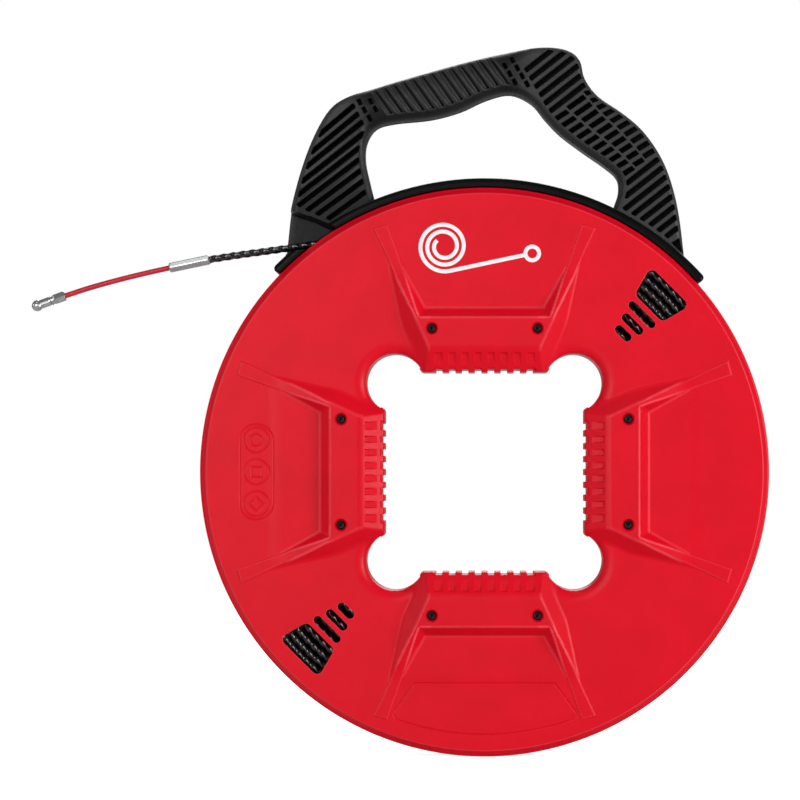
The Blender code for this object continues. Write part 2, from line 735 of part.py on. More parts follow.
def rail_screw_holes(start_radius):
    """Cutters for the rail screws' shanks, from a radius outwards into the shoe."""
    shape = bmesh.new()
    for angle in RAIL_SCREW_ANGLES_DEG:
        piece = bmesh.new()
        depth = RAIL_SCREW_SEAT_RADIUS + RAIL_SCREW_SHANK_LENGTH + GAP - start_radius
        cylinder_shape(piece, RAIL_SCREW_SHANK_RADIUS + GAP, -depth, 0.0)
        bmesh.ops.transform(piece, matrix=radial_matrix(start_radius, angle), verts=piece.verts)
        mesh = bpy.data.meshes.new("hole")
        piece.to_mesh(mesh)
        piece.free()
        shape.from_mesh(mesh)
    return finish_mesh("rail_screw_holes", shape)


def rail_head_wells():
    """Cutters for the rail screws' heads."""
    shape = bmesh.new()
    for angle in RAIL_SCREW_ANGLES_DEG:
        piece = bmesh.new()
        cylinder_shape(piece, RAIL_SCREW_HEAD_RADIUS + GAP, -GAP, 2 * PAST)
        bmesh.ops.transform(piece, matrix=radial_matrix(RAIL_SCREW_SEAT_RADIUS, angle), verts=piece.verts)
        mesh = bpy.data.meshes.new("well")
        piece.to_mesh(mesh)
        piece.free()
        shape.from_mesh(mesh)
    return finish_mesh("rail_head_wells", shape)


def make_rail(bench):
    """The sliding rail that keeps the handle on the case, and the screws that fix it to the shoe."""
    flange = sector(RAIL_INNER_RADIUS, RAIL_OUTER_RADIUS, RAIL_START_DEG, RAIL_END_DEG, RAIL_STEPS)
    ends = (RAIL_START_DEG + WEB_INSET_DEG, RAIL_END_DEG - WEB_INSET_DEG)
    web = sector(RAIL_OUTER_RADIUS - WALL / 2, WEB_OUTER_RADIUS, *ends, RAIL_STEPS)
    rail = bench.place("shoe_rail", prism("flange", flange, -RAIL_HALF_WIDTH, RAIL_HALF_WIDTH), "rail_acetal")
    bench.join(rail, prism("web", web, -WEB_HALF_WIDTH, WEB_HALF_WIDTH))
    bench.cut(rail, rail_screw_holes(RAIL_INNER_RADIUS - PAST))
    bench.cut(rail, rail_head_wells())
    mesh = screw_mesh(
        "rail_screw",
        RAIL_SCREW_HEAD_RADIUS,
        RAIL_SCREW_HEAD_HEIGHT,
        RAIL_SCREW_SHANK_RADIUS,
        RAIL_SCREW_SHANK_LENGTH,
    )
    for i, angle in enumerate(RAIL_SCREW_ANGLES_DEG, 1):
        seat = radial_matrix(RAIL_SCREW_SEAT_RADIUS, angle)
        bench.place(f"rail_screw_{i}", mesh, "screw_black", seat)


def make_tube(bench, name, route, radius, finish, per_span):
    """A round cord along a smooth curve through its route, as a bevelled curve with filled caps."""
    curve = bpy.data.curves.new(name, "CURVE")
    curve.dimensions = "3D"
    curve.bevel_depth = radius
    curve.bevel_resolution = 2
    curve.use_fill_caps = True
    points = [(x, y, 0.0) for x, y in smooth_through(route, per_span)]
    spline = curve.splines.new("POLY")
    spline.points.add(len(points) - 1)
    for point, place in zip(spline.points, points):
        point.co = (*place, 1.0)
    curve.materials.append(bench.materials[finish])
    obj = bpy.data.objects.new(name, curve)
    bench.parts.objects.link(obj)
    obj.parent = bench.upright


def tape_line(along):
    """A point of the straight line that the tape leaves the coil by, from the line's nearest point to the axis."""
    x, y = polar(TAPE_LINE_RADIUS, TAPE_LINE_DEG)
    dx, dy = polar(along, TAPE_LINE_DEG + 90)
    return (x + dx, y + dy)


def axial_matrix(start, end):
    """Puts a piece's own +z along the line from one plane point to another."""
    a, b = Vector((*start, 0.0)), Vector((*end, 0.0))
    turn = (b - a).to_track_quat("Z", "Y").to_matrix().to_4x4()
    return Matrix.Translation(a) @ turn


def length_between(start, end):
    """The distance between two plane points."""
    return (Vector(end) - Vector(start)).length


def make_ferrule(bench):
    """The six-sided steel ferrule that joins the tape to its leader, bored at both ends."""
    length = length_between(*FERRULE_ENDS)
    shape = bmesh.new()
    cylinder_shape(shape, FERRULE_RADIUS, 0.0, length, steps=6)
    matrix = axial_matrix(*FERRULE_ENDS)
    body = bench.place("tail_ferrule", finish_mesh("tail_ferrule", shape), "bright_steel", matrix)
    ends = [
        ((0, 0), FERRULE_BORE_RADIUS, -PAST, FERRULE_BORE_DEPTH),
        ((0, 0), LEADER_RADIUS + GAP, length - FERRULE_BORE_DEPTH, length + PAST),
    ]
    bench.cut(body, cylinders("ferrule_bores", ends))


def make_pulling_eye(bench):
    """The crimped sleeve on the leader's end, and the eye screwed into it, with its slot and ball nose."""
    matrix = axial_matrix(*SLEEVE_ENDS)
    length = length_between(*SLEEVE_ENDS)
    shape = bmesh.new()
    cylinder_shape(shape, SLEEVE_RADIUS, 0.0, length, steps=FINE_ROUND)
    sleeve = bench.place("tip_sleeve", finish_mesh("tip_sleeve", shape), "bright_steel", matrix)
    bore = [((0, 0), LEADER_RADIUS + GAP, -PAST, FERRULE_BORE_DEPTH)]
    bench.cut(sleeve, cylinders("sleeve_bore", bore))
    reach = length_between(SLEEVE_ENDS[1], EYE_END)
    matrix = axial_matrix(SLEEVE_ENDS[1], EYE_END)
    shape = bmesh.new()
    cylinder_shape(shape, EYE_NECK_RADIUS, GAP, reach - EYE_BALL_RADIUS)
    eye = bench.place("tip_eyelet", finish_mesh("tip_eyelet", shape), "bright_steel", matrix)
    shape = bmesh.new()
    ball_place = Matrix.Translation((0, 0, reach - EYE_BALL_RADIUS))
    bmesh.ops.create_uvsphere(shape, u_segments=FINE_ROUND, v_segments=8, radius=EYE_BALL_RADIUS, matrix=ball_place)
    bench.join(eye, finish_mesh("eye_ball", shape))
    start, end = EYE_SLOT_ENDS
    half = EYE_SLOT_HALF_WIDTH
    slot = [(x, y, z) for x in (-half, half) for y in (-PAST, PAST) for z in (start, end)]
    bench.cut(eye, hulls_round_axis("eye_slot", [slot], (0,)))


def make_free_end(bench):
    """Everything on the tape from where it leaves the coil to its tip."""
    make_tube(bench, "tape_lead", [tape_line(LEAD_START), tape_line(LEAD_END)], TAPE_RADIUS, "tape_black", 5)
    make_tube(bench, "tape_tail", TAIL_ROUTE, TAPE_RADIUS, "tape_black", 2)
    make_ferrule(bench)
    make_tube(bench, "leader_rod", LEADER_ROUTE, LEADER_RADIUS, "leader_red", 3)
    make_pulling_eye(bench)


def main():
    """Builds the whole reel."""
    bench = Bench()
    make_handle(bench)
    make_rail(bench)
    make_front_shell(bench)
    make_back_shell(bench)
    make_case_screws(bench)
    make_coil(bench)
    make_anchor(bench)
    make_free_end(bench)


main()
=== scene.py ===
"""The looks of a hand-spun fish tape reel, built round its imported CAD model.

The case, handle, tape and fittings are detailed meshes that stand for the plain CAD solids. Everything is
modelled face on (x to the right, y up, height towards the front) and stood upright by one matrix, so that
the front faces -Y. All lengths are in metres.
"""

import math

import bmesh
import bpy
import numpy as np
from mathutils import Matrix, Vector
from mathutils.geometry import delaunay_2d_cdt


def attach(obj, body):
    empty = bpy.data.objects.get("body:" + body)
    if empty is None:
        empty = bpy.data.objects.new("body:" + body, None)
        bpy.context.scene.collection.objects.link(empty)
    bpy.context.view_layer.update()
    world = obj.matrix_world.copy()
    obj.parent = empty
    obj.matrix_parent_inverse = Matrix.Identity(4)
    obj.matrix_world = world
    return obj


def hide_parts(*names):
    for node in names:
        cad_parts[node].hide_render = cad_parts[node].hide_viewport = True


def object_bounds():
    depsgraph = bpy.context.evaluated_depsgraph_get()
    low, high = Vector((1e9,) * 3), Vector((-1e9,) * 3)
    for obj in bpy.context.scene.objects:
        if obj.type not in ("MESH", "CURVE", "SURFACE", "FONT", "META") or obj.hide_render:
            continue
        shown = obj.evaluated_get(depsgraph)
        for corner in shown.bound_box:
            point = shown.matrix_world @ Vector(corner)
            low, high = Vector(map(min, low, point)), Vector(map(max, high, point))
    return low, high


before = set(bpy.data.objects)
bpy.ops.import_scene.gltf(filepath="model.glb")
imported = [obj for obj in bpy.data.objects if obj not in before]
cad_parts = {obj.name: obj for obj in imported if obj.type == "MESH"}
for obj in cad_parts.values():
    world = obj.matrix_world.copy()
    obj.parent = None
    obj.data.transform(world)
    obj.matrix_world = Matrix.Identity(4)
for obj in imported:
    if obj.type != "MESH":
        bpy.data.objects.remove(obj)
cad_low, cad_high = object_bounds()

MM = 0.001
UPRIGHT = Matrix.Rotation(math.radians(90), 4, "X")
UP = Vector((0.0, 0.0, 1.0))

# The view: straight on through a long lens, with the reel right of and below the picture's middle.
CAMERA_DISTANCE = 2.4
VIEW_WIDTH = 0.493
VIEW_MIDDLE = (-0.0521, 0.0444)
FOCUS_HEIGHT = 0.012
SENSOR_WIDTH = 36.0

# The case. RIM_PROFILE is a shell's (radius, height) from its face's edge round the rim to its inner face.
FACE_HEIGHT = 0.0215
SEAM_HEIGHT = 0.00015
DRUM_RADIUS = 0.102
FACE_RADIUS = 0.1700
RIM_PROFILE = (
    (0.1705, 0.0215), (0.1710, 0.02142), (0.1713, 0.0212), (0.1716, 0.0208), (0.1722, 0.0200),
    (0.1732, 0.0187), (0.1736, 0.0182), (0.1739, 0.01795), (0.1742, 0.0178), (0.1746, 0.0176),
    (0.17485, 0.0173), (0.17500, 0.0168), (0.17500, 0.0120), (0.17500, 0.0050), (0.17480, 0.0045),
    (0.17440, 0.0044), (0.17200, 0.0044), (0.17200, 0.0165), (0.17150, 0.0179), (0.17050, 0.0185),
)

# How strong a painted highlight the rim gets at two of its heights, and the windows' edges over a share of
# their roll.
RIM_HIGHLIT_HEIGHTS = (0.02142, 0.0212)
RIM_HIGHLIGHT = 0.55
WINDOW_HIGHLIGHT = 0.6
WINDOW_HIGHLIT_SHARE = 0.5

# The hand opening: ribbed sides and round lobes.
RIB_TIP = 0.0615
RIB_GROOVE = 0.0631
RIB_PITCH = 0.008
RIB_HALF_WIDTH = 0.00205
RIB_COUNT = 8
SIDE_HALF_LENGTH = 0.0380
LOBE_CENTRE = 0.055
LOBE_RADIUS = 0.0179
LOBE_START_DEG = 30.0
LOBE_STEPS = 72
LOBE_ROLL = 0.0075
LOBE_DROP = 0.0042
LOBE_BEND = ((-0.0392, 0.0622), (-0.0399, 0.0633))

# The raised frame on each side of the opening, for the side above it, mirrored in x.
FRAME_HEIGHT = 0.0075
LEDGE = (0.0774, 0.0748, 0.0069)
BAND_SLOPE = 0.46
STRIP_INNER = (0.0335, 0.0748)
STRIP_OUTER = (0.0436, 0.0970)
FLANK_MIDDLE = (0.0485, 0.0865)
RAMP_FOOT = (0.0509, 0.0935)
RAMP_END = (0.0570, 0.1250)
PAD_HEIGHT = 0.0007
PAD = ((0.0452, 0.1116), (0.0535, 0.1176), (0.0685, 0.1496), (0.0594, 0.1522))
RECESS_END = (0.0948, 0.1012)
RECESS_SIDE_FOOT = ((0.0363, 0.1012), (0.0502, 0.1260))
RECESS_SIDE_SLOPE = 1.2
POCKET_TOP = 0.0732
POCKET_FLOOR = (0.0050, 0.30)
POCKET_WALL = (-0.30 * MM, 0.10 * MM)
LAST_RIB_FLARE = (0.0005, 0.08)
RIB_ROLL = 0.0014
GROOVE_ROLL = 0.0022

# The widths over which the face's surfaces run into each other.
LEDGE_BLEND = 0.3 * MM
STRIP_BLEND = 0.2 * MM
SLOPE_BLEND = 0.9 * MM
RECESS_CORNER_BLEND = 1.5 * MM
RECESS_FOOT_BLEND = 0.8 * MM
RECESS_LIP_BLEND = 0.7 * MM
PAD_EDGE = (-0.9 * MM, 0.1 * MM)
FACE_BLEND = 1.4 * MM

# Screw wells, and windows: each one's inner and outer distance, its half length at both, and its corners.
SCREW_PLACE = (0.0324, 0.0880)
SCREW_SEAT_HEIGHT = 0.0250
SCREW_WELL_RADIUS = 0.00385
SCREW_NECK_RADIUS = 0.00270
SCREW_HEAD_HEIGHT = 0.0024
SCREW_HEAD_RADIUS = 0.00255
SCREW_HOLE_RADIUS = 0.0021
PILOT_DEPTH = 0.0190
WINDOWS = (
    (0.1423, 0.1614, 0.0119, 0.0170, 0.0036),
    (0.1342, 0.1391, 0.0106, 0.0106, 0.0024),
    (0.1259, 0.1310, 0.0082, 0.0082, 0.0025),
    (0.1179, 0.1230, 0.0060, 0.0060, 0.0025),
)
WINDOW_ANGLES_DEG = (45.0, 225.0)


# ---------------------------------------------------------------- plane geometry


def polar(radius, degrees, centre=(0.0, 0.0)):
    """The point at this radius and angle, counted from +x towards +y."""
    a = math.radians(degrees)
    return (centre[0] + radius * math.cos(a), centre[1] + radius * math.sin(a))


def arc(radius, start_deg, end_deg, steps, centre=(0.0, 0.0)):
    """Points along a circular arc, both ends included."""
    return [polar(radius, start_deg + (end_deg - start_deg) * i / steps, centre) for i in range(steps + 1)]


def turned(points, degrees):
    """Plane points turned about the origin."""
    c, s = math.cos(math.radians(degrees)), math.sin(math.radians(degrees))
    return [(x * c - y * s, x * s + y * c) for x, y in points]


def both_sides(points):
    """Plane points, and the same ones mirrored in x."""
    return [*points, *((-x, y) for x, y in points)]


def smooth_through(points, per_span):
    """Points on a smooth curve through some points (Catmull-Rom), both ends included."""
    known = [Vector(p) for p in points]
    padded = [2 * known[0] - known[1], *known, 2 * known[-1] - known[-2]]
    out = []
    for i in range(1, len(padded) - 2):
        a, b, c, d = padded[i - 1 : i + 3]
        for j in range(per_span):
            t = j / per_span
            square, cube = (2 * a - 5 * b + 4 * c - d) * t * t, (3 * b - a - 3 * c + d) * t**3
            out.append(0.5 * (2 * b + (c - a) * t + square + cube))
    out.append(known[-1])
    return out


def resampled(loop, step):
    """A closed loop with its longer sides divided, so that no side is much longer than the step."""
    out = []
    for a, b in zip(loop, [*loop[1:], loop[0]]):
        pieces = max(1, round(math.dist(a, b) / step))
        dx, dy = b[0] - a[0], b[1] - a[1]
        out += [(a[0] + dx * i / pieces, a[1] + dy * i / pieces) for i in range(pieces)]
    return out


def rounded(corners, radius, steps=6):
    """A closed anticlockwise outline with each corner turned into an arc of this radius."""
    out = []
    known = [Vector(c) for c in corners]
    for i, corner in enumerate(known):
        back = (known[i - 1] - corner).normalized()
        onward = (known[(i + 1) % len(known)] - corner).normalized()
        half = back.angle(onward) / 2
        centre = corner + (back + onward).normalized() * (radius / math.sin(half))
        start = corner + back * (radius / math.tan(half)) - centre
        sweep = math.pi - 2 * half
        for j in range(steps + 1):
            c, s = math.cos(sweep * j / steps), math.sin(sweep * j / steps)
            out.append((centre.x + start.x * c - start.y * s, centre.y + start.x * s + start.y * c))
    return out


def inside(x, y, loop):
    """Which points lie inside a closed loop."""
    found = np.zeros(len(x), bool)
    for (ax, ay), (bx, by) in zip(loop, [*loop[1:], loop[0]]):
        if ay == by:
            continue
        crosses = (ay > y) != (by > y)
        found ^= crosses & (x < (bx - ax) * (y - ay) / (by - ay) + ax)
    return found


def distance_to(x, y, line, closed=True):
    """Each point's distance to a line of points."""
    best = np.full(len(x), 1.0)
    ends = zip(line, [*line[1:], line[0]]) if closed else zip(line, line[1:])
    for (ax, ay), (bx, by) in ends:
        dx, dy = bx - ax, by - ay
        t = np.clip(((x - ax) * dx + (y - ay) * dy) / max(dx * dx + dy * dy, 1e-18), 0, 1)
        best = np.minimum(best, np.hypot(x - ax - t * dx, y - ay - t * dy))
    return best


def signed_distance(x, y, loop):
    """Distance to a closed loop, negative inside it."""
    return np.where(inside(x, y, loop), -1.0, 1.0) * distance_to(x, y, loop)


def smooth_min(a, b, width):
    """The lower of two heights, blended over this width."""
    t = np.clip(0.5 + 0.5 * (b - a) / width, 0, 1)
    return b + (a - b) * t - width * t * (1 - t)


def smooth_max(a, b, width):
    """The higher of two heights, blended over this width."""
    return -smooth_min(-a, -b, width)


def ease(low, high, value):
    """0 below low, 1 above high, and a smooth step between them."""
    t = np.clip((value - low) / (high - low), 0, 1)
    return t * t * (3 - 2 * t)


def quarter_round(distance, width, depth):
    """How far an edge rounded over this width has dropped, at a distance in from it."""
    t = np.clip(1 - distance / width, 0, 1)
    return depth * (1 - np.sqrt(1 - t * t))


def plane_through(a, b, c):
    """The height of the plane through three (x, y, height) points, as a function of x and y."""
    rows = np.array([[1, a[0], a[1]], [1, b[0], b[1]], [1, c[0], c[1]]], float)
    base, along_x, along_y = np.linalg.solve(rows, np.array([a[2], b[2], c[2]], float))
    return lambda x, y: base + along_x * x + along_y * y


# ---------------------------------------------------------------- meshes


# The point attribute that holds how strong a painted highlight each point gets; the materials lighten there.
HIGHLIGHT_ATTRIBUTE = "painted_highlight"
BEND_PROBE_STEP = 0.30 * MM


def outward_bend(height, x, y, low, high):
    """How sharply a height formula bends outwards, from 0 at one curvature to 1 at another."""
    s = BEND_PROBE_STEP
    here = height(x, y)
    around = sum(height(x + dx, y + dy) - here for dx, dy in ((s, 0), (-s, 0), (0, s), (0, -s)))
    return np.clip((-around / s**2 - low) / (high - low), 0.0, 1.0)


class Weave:
    """Gathers the points and faces of one mesh."""

    def __init__(self):
        self.points = []
        self.faces = []
        self.sheets = []
        self.normals = {}
        self.finishes = []
        self.painted_highlight = {}

    def add(self, points):
        """Adds points, and gives their numbers."""
        first = len(self.points)
        self.points += [tuple(p) for p in points]
        return list(range(first, len(self.points)))

    def loft(self, low, high, closed=True):
        """Faces between two rows of as many points, whose outside is to the right of low seen from high."""
        count = len(low) if closed else len(low) - 1
        for i in range(count):
            j = (i + 1) % len(low)
            self.faces.append((low[i], low[j], high[j], high[i]))

    def cap(self, row):
        """One face over a row."""
        self.faces.append(tuple(row))

    def finish_from(self, first_face, slot):
        """Gives every face since a count of faces this material slot."""
        self.finishes.append((first_face, len(self.faces), slot))

    def sheet(self, x, y, z, faces, normals, painted_highlight, flip=False):
        """Adds a triangulated surface with its own normals, and how strong a painted highlight each point
        gets.
        """
        first, start = len(self.points), len(self.faces)
        self.points += list(zip(x.tolist(), y.tolist(), z.tolist()))
        corners = faces[:, ::-1] if flip else faces
        self.faces += (corners + first).tolist()
        self.sheets.append((start, len(self.faces)))
        self.normals.update(enumerate(normals.tolist(), first))
        self.painted_highlight.update(enumerate(painted_highlight.tolist(), first))
        return first

    def mesh(self, name, sharp_deg=35.0, consistent=False):
        """The mesh, shaded smooth, with sharp edges where it turns by more than the angle."""
        mesh = bpy.data.meshes.new(name)
        mesh.from_pydata(self.points, [], self.faces)
        if consistent:
            shape = bmesh.new()
            shape.from_mesh(mesh)
            bmesh.ops.recalc_face_normals(shape, faces=shape.faces)
            shape.to_mesh(mesh)
            shape.free()
        # Each point's painted highlight strength, for the materials to read.
        if self.painted_highlight:
            painted_highlight = mesh.attributes.new(HIGHLIGHT_ATTRIBUTE, "FLOAT", "POINT")
            painted_highlight.data.foreach_set("value", [self.painted_highlight.get(i, 0.0) for i in range(len(self.points))])
        for start, end, slot in self.finishes:
            for polygon in mesh.polygons[start:end]:
                polygon.material_index = slot
        mesh.shade_smooth()
        mesh.set_sharp_from_angle(angle=math.radians(sharp_deg))
        if self.sheets:
            corners = np.zeros(len(mesh.loops) * 3, np.float32)
            mesh.corner_normals.foreach_get("vector", corners)
            corners = corners.reshape(-1, 3).tolist()
            for start, end in self.sheets:
                for polygon in mesh.polygons[start:end]:
                    for loop, vertex in zip(polygon.loop_indices, polygon.vertices):
                        corners[loop] = self.normals[vertex]
            mesh.normals_split_custom_set(corners)
        return mesh


def new_object(name, mesh, material, matrix=None):
    """An object in the scene, stood upright from the face-on frame."""
    obj = bpy.data.objects.new(name, mesh)
    bpy.context.scene.collection.objects.link(obj)
    obj.matrix_world = UPRIGHT @ (matrix or Matrix.Identity(4))
    mesh.materials.append(material)
    return obj


def solid(weave, name, material, sharp_deg=35.0, matrix=None):
    """An object of one closed mesh, with all its faces turned outwards."""
    return new_object(name, weave.mesh(name, sharp_deg, consistent=True), material, matrix)


def cut_away(piece, cutter, sharp_deg=35.0):
    """Cuts one object's shape out of another, and gives the other."""
    modifier = piece.modifiers.new("cut", "BOOLEAN")
    modifier.object = cutter
    modifier.solver = "EXACT"
    bpy.context.view_layer.update()
    shaped = piece.evaluated_get(bpy.context.evaluated_depsgraph_get())
    mesh = bpy.data.meshes.new_from_object(shaped)
    piece.modifiers.clear()
    piece.data = mesh
    mesh.shade_smooth()
    mesh.set_sharp_from_angle(angle=math.radians(sharp_deg))
    bpy.data.objects.remove(cutter)
    return piece


class Field:
    """A surface over a flat outline with holes, whose height is a formula of x and y."""

    STEP = 0.15 * MM
    THINNEST = 1e-10

    def __init__(
        self, outer, holes, height, fine, levels=(2, 8), bend=0.03, reach=None, rub=None, grain_deg=0.0
    ):
        self.height = height
        self.rub = rub
        self.grain_deg = grain_deg
        self.loops = [outer, *holes]
        self.fine = fine
        self.levels = levels
        self.bend = bend
        self.reach = reach
        self.build()

    def normals(self, x, y):
        """The surface's normals, from the height formula."""
        s = self.STEP
        dx = (self.height(x + s, y) - self.height(x - s, y)) / (2 * s)
        dy = (self.height(x, y + s) - self.height(x, y - s)) / (2 * s)
        n = np.stack([-dx, -dy, np.ones_like(dx)], axis=1)
        return n / np.linalg.norm(n, axis=1)[:, None]

    def grid(self):
        """A triangular grid over the outline's area: each point's column, row, x and y."""
        outer = np.array(turned(self.loops[0], -self.grain_deg))
        low, high = outer.min(0), outer.max(0)
        row = self.fine * math.sqrt(3) / 2
        columns = int((high[0] - low[0]) / self.fine) + 2
        rows = int((high[1] - low[1]) / row) + 2
        i, j = (a.ravel() for a in np.meshgrid(np.arange(columns), np.arange(rows)))
        s, t = low[0] + (i + 0.5 * (j % 2)) * self.fine, low[1] + j * row
        cos, sin = math.cos(math.radians(self.grain_deg)), math.sin(math.radians(self.grain_deg))
        x, y = s * cos - t * sin, s * sin + t * cos
        good = inside(x, y, self.loops[0])
        for loop in self.loops[1:]:
            good[good] = ~inside(x[good], y[good], loop)
        return i[good], j[good], x[good], y[good]

    def free_points(self):
        """Points over the outline's area, close together where the surface bends."""
        i, j, x, y = self.grid()
        medium, coarse = self.levels
        probe = self.fine
        here = self.normals(x, y)
        turn = np.zeros(len(x))
        for dx, dy in ((probe, 0), (-probe, 0), (0, probe), (0, -probe)):
            turn = np.maximum(turn, np.abs(self.normals(x + dx, y + dy) - here).max(axis=1))
        keep = turn > self.bend
        keep |= (turn > self.bend / 6) & (i % medium == 0) & (j % medium == 0)
        keep |= (i % coarse == 0) & (j % coarse == 0)
        x, y = x[keep], y[keep]
        for loop in self.loops:
            near = np.array(loop)
            margin = 4 * self.fine
            box = (x > near[:, 0].min() - margin) & (x < near[:, 0].max() + margin)
            box &= (y > near[:, 1].min() - margin) & (y < near[:, 1].max() + margin)
            far = np.ones(len(x))
            far[box] = distance_to(x[box], y[box], loop)
            good = far > 0.3 * self.fine
            x, y = x[good], y[good]
        return list(zip(x.tolist(), y.tolist()))

    def offset_points(self):
        """Rows of points just inside each loop, where rounded edges bend most."""
        found = []
        if not self.reach:
            return found
        for loop in self.loops:
            ring = np.array(loop)
            onward = np.roll(ring, -1, axis=0) - np.roll(ring, 1, axis=0)
            inward = np.stack([-onward[:, 1], onward[:, 0]], axis=1)
            inward /= np.linalg.norm(inward, axis=1)[:, None]
            if loop is not self.loops[0]:
                inward = -inward
            area = 0.5 * np.sum(ring[:, 0] * np.roll(ring[:, 1], -1) - ring[:, 1] * np.roll(ring[:, 0], -1))
            inward *= np.sign(area)
            for reach in self.reach:
                moved = ring + inward * reach
                x, y = moved[:, 0], moved[:, 1]
                clear = distance_to(x, y, loop) > 0.93 * reach
                found += list(zip(x[clear].tolist(), y[clear].tolist()))
        return found

    def build(self):
        """Triangulates the surface."""
        points, edges, spans = [], [], []
        for loop in self.loops:
            first = len(points)
            spans.append((first, len(loop)))
            points += loop
            edges += [(first + i, first + (i + 1) % len(loop)) for i in range(len(loop))]
        points += self.offset_points() + self.free_points()
        made = delaunay_2d_cdt([Vector(p) for p in points], edges, [], 0, 1e-7)
        spots, triangles, came_from = np.array([tuple(v) for v in made[0]]), np.array(made[2]), made[3]
        middle = spots[triangles].mean(axis=1)
        good = inside(middle[:, 0], middle[:, 1], self.loops[0])
        for loop in self.loops[1:]:
            good &= ~inside(middle[:, 0], middle[:, 1], loop)
        (ax, ay), (bx, by) = ((spots[triangles[:, k]] - spots[triangles[:, 0]]).T for k in (1, 2))
        good &= np.abs(ax * by - ay * bx) > 2 * self.THINNEST
        self.triangles = triangles[good]
        self.x, self.y = spots[:, 0], spots[:, 1]
        self.z = self.height(self.x, self.y)
        new_number = {old: new for new, olds in enumerate(came_from) for old in olds}
        self.rims = [[new_number[first + i] for i in range(count)] for first, count in spans]

    def weave(self, into, flip=False, mirror=False):
        """Adds the surface to a mesh, and gives the numbers of the points along each loop."""
        normals = self.normals(self.x, self.y)
        side = -1.0 if mirror else 1.0
        if flip and not mirror:
            normals = -normals
        # How strong a painted highlight each point gets.
        painted_highlight = self.rub(self.x, self.y) if self.rub else np.zeros_like(self.x)
        normals = normals * (1.0, 1.0, side)
        first = into.sheet(self.x, self.y, self.z * side, self.triangles, normals, painted_highlight, flip)
        return [[first + i for i in rim] for rim in self.rims]


# ---------------------------------------------------------------- the case


def frame_slopes():
    """The planes that bound one raised frame, from the face up: the ramp and both parts of the flank."""
    top = FRAME_HEIGHT
    return (
        plane_through((*STRIP_OUTER, top), (0.0, STRIP_OUTER[1], top), (*RAMP_END, PAD_HEIGHT)),
        plane_through((*STRIP_INNER, top), (*STRIP_OUTER, top), (*FLANK_MIDDLE, 0.0)),
        plane_through((*STRIP_OUTER, top), (*RAMP_END, PAD_HEIGHT), (*RAMP_FOOT, 0.0)),
    )


FRAME_SLOPES = frame_slopes()


def band_height(u, v):
    """The sloped band between a strip and the opening, with the grip's pockets in it."""
    ledge_start, ledge_end, ledge_height = LEDGE
    ledge = FRAME_HEIGHT - (ledge_start - v) * (FRAME_HEIGHT - ledge_height) / (ledge_start - ledge_end)
    slope = ledge_height - (ledge_end - v) * BAND_SLOPE
    rib = smooth_min(ledge, slope, LEDGE_BLEND)
    middle = RIB_PITCH * (np.floor(u / RIB_PITCH) + 0.5)
    last = RIB_PITCH * (RIB_COUNT / 2 - 0.5)
    middle = np.minimum(middle, last)
    side = np.abs(u - middle) - RIB_HALF_WIDTH
    flare, growth = LAST_RIB_FLARE
    side -= (u > last) * (flare + growth * (POCKET_TOP - v))
    depth, fall = POCKET_FLOOR
    floor = depth - (POCKET_TOP - v) * fall
    floor -= quarter_round(v - RIB_GROOVE, GROOVE_ROLL, GROOVE_ROLL)
    side = np.maximum(side, v - POCKET_TOP)
    carved = 1 - ease(*POCKET_WALL, side)
    rib -= quarter_round(v - RIB_TIP, RIB_ROLL, RIB_ROLL)
    return rib + (np.minimum(rib, floor) - rib) * carved


def face_height(x, y):
    """The case's face above the seam: raised frames, grip bands and rolled edges round the lobes."""
    u, v = np.minimum(np.abs(x), np.abs(y)), np.maximum(np.abs(x), np.abs(y))
    block = smooth_min(np.full_like(u, FRAME_HEIGHT), band_height(u, v), STRIP_BLEND)
    for slope in FRAME_SLOPES:
        block = smooth_min(block, slope(u, v), SLOPE_BLEND)
    mouth, floor = RECESS_END
    end_wall = FRAME_HEIGHT * (floor - v) / (floor - mouth)
    wall = smooth_max(beyond_recess(u, v) * RECESS_SIDE_SLOPE, end_wall, RECESS_CORNER_BLEND)
    wall = smooth_max(wall, np.zeros_like(u), RECESS_FOOT_BLEND)
    block = smooth_min(block, wall, RECESS_LIP_BLEND)
    pad = PAD_HEIGHT * (1 - ease(*PAD_EDGE, signed_distance(u, v, PAD)))
    lobe = np.hypot(u - LOBE_CENTRE, v - LOBE_CENTRE) - LOBE_RADIUS
    base = pad - quarter_round(lobe, LOBE_ROLL, LOBE_DROP)
    return FACE_HEIGHT + smooth_max(base, block, FACE_BLEND)


# Painted highlights along bends: how sharply a bend turns at none and at full, how much of it shows, and how
# far it reaches.
FRAME_BENDS = (260.0, 700.0)
PADS_SPARED = 0.55
PADS_SPARED_FROM = (0.112, 0.124)
MOUTH_SPARED = 0.45
MOUTH_REACH = 2.0 * MM
FOOT_BENDS = (200.0, 600.0)
FOOT_HIGHLIGHT = 0.42
FOOT_REACH = (2.0 * MM, 2.2 * MM)
FOOT_TOP = FACE_HEIGHT + 1.6 * MM


def beyond_recess(u, v):
    """How far a point of an eighth of the face lies past the line at a recess's side."""
    (foot_x, foot_y), (end_x, end_y) = RECESS_SIDE_FOOT
    along = math.hypot(end_x - foot_x, end_y - foot_y)
    return ((u - foot_x) * (end_y - foot_y) - (v - foot_y) * (end_x - foot_x)) / along


def face_depth(x, y):
    """The face's height upside down, so that its hollow bends count as outward."""
    return -face_height(x, y)


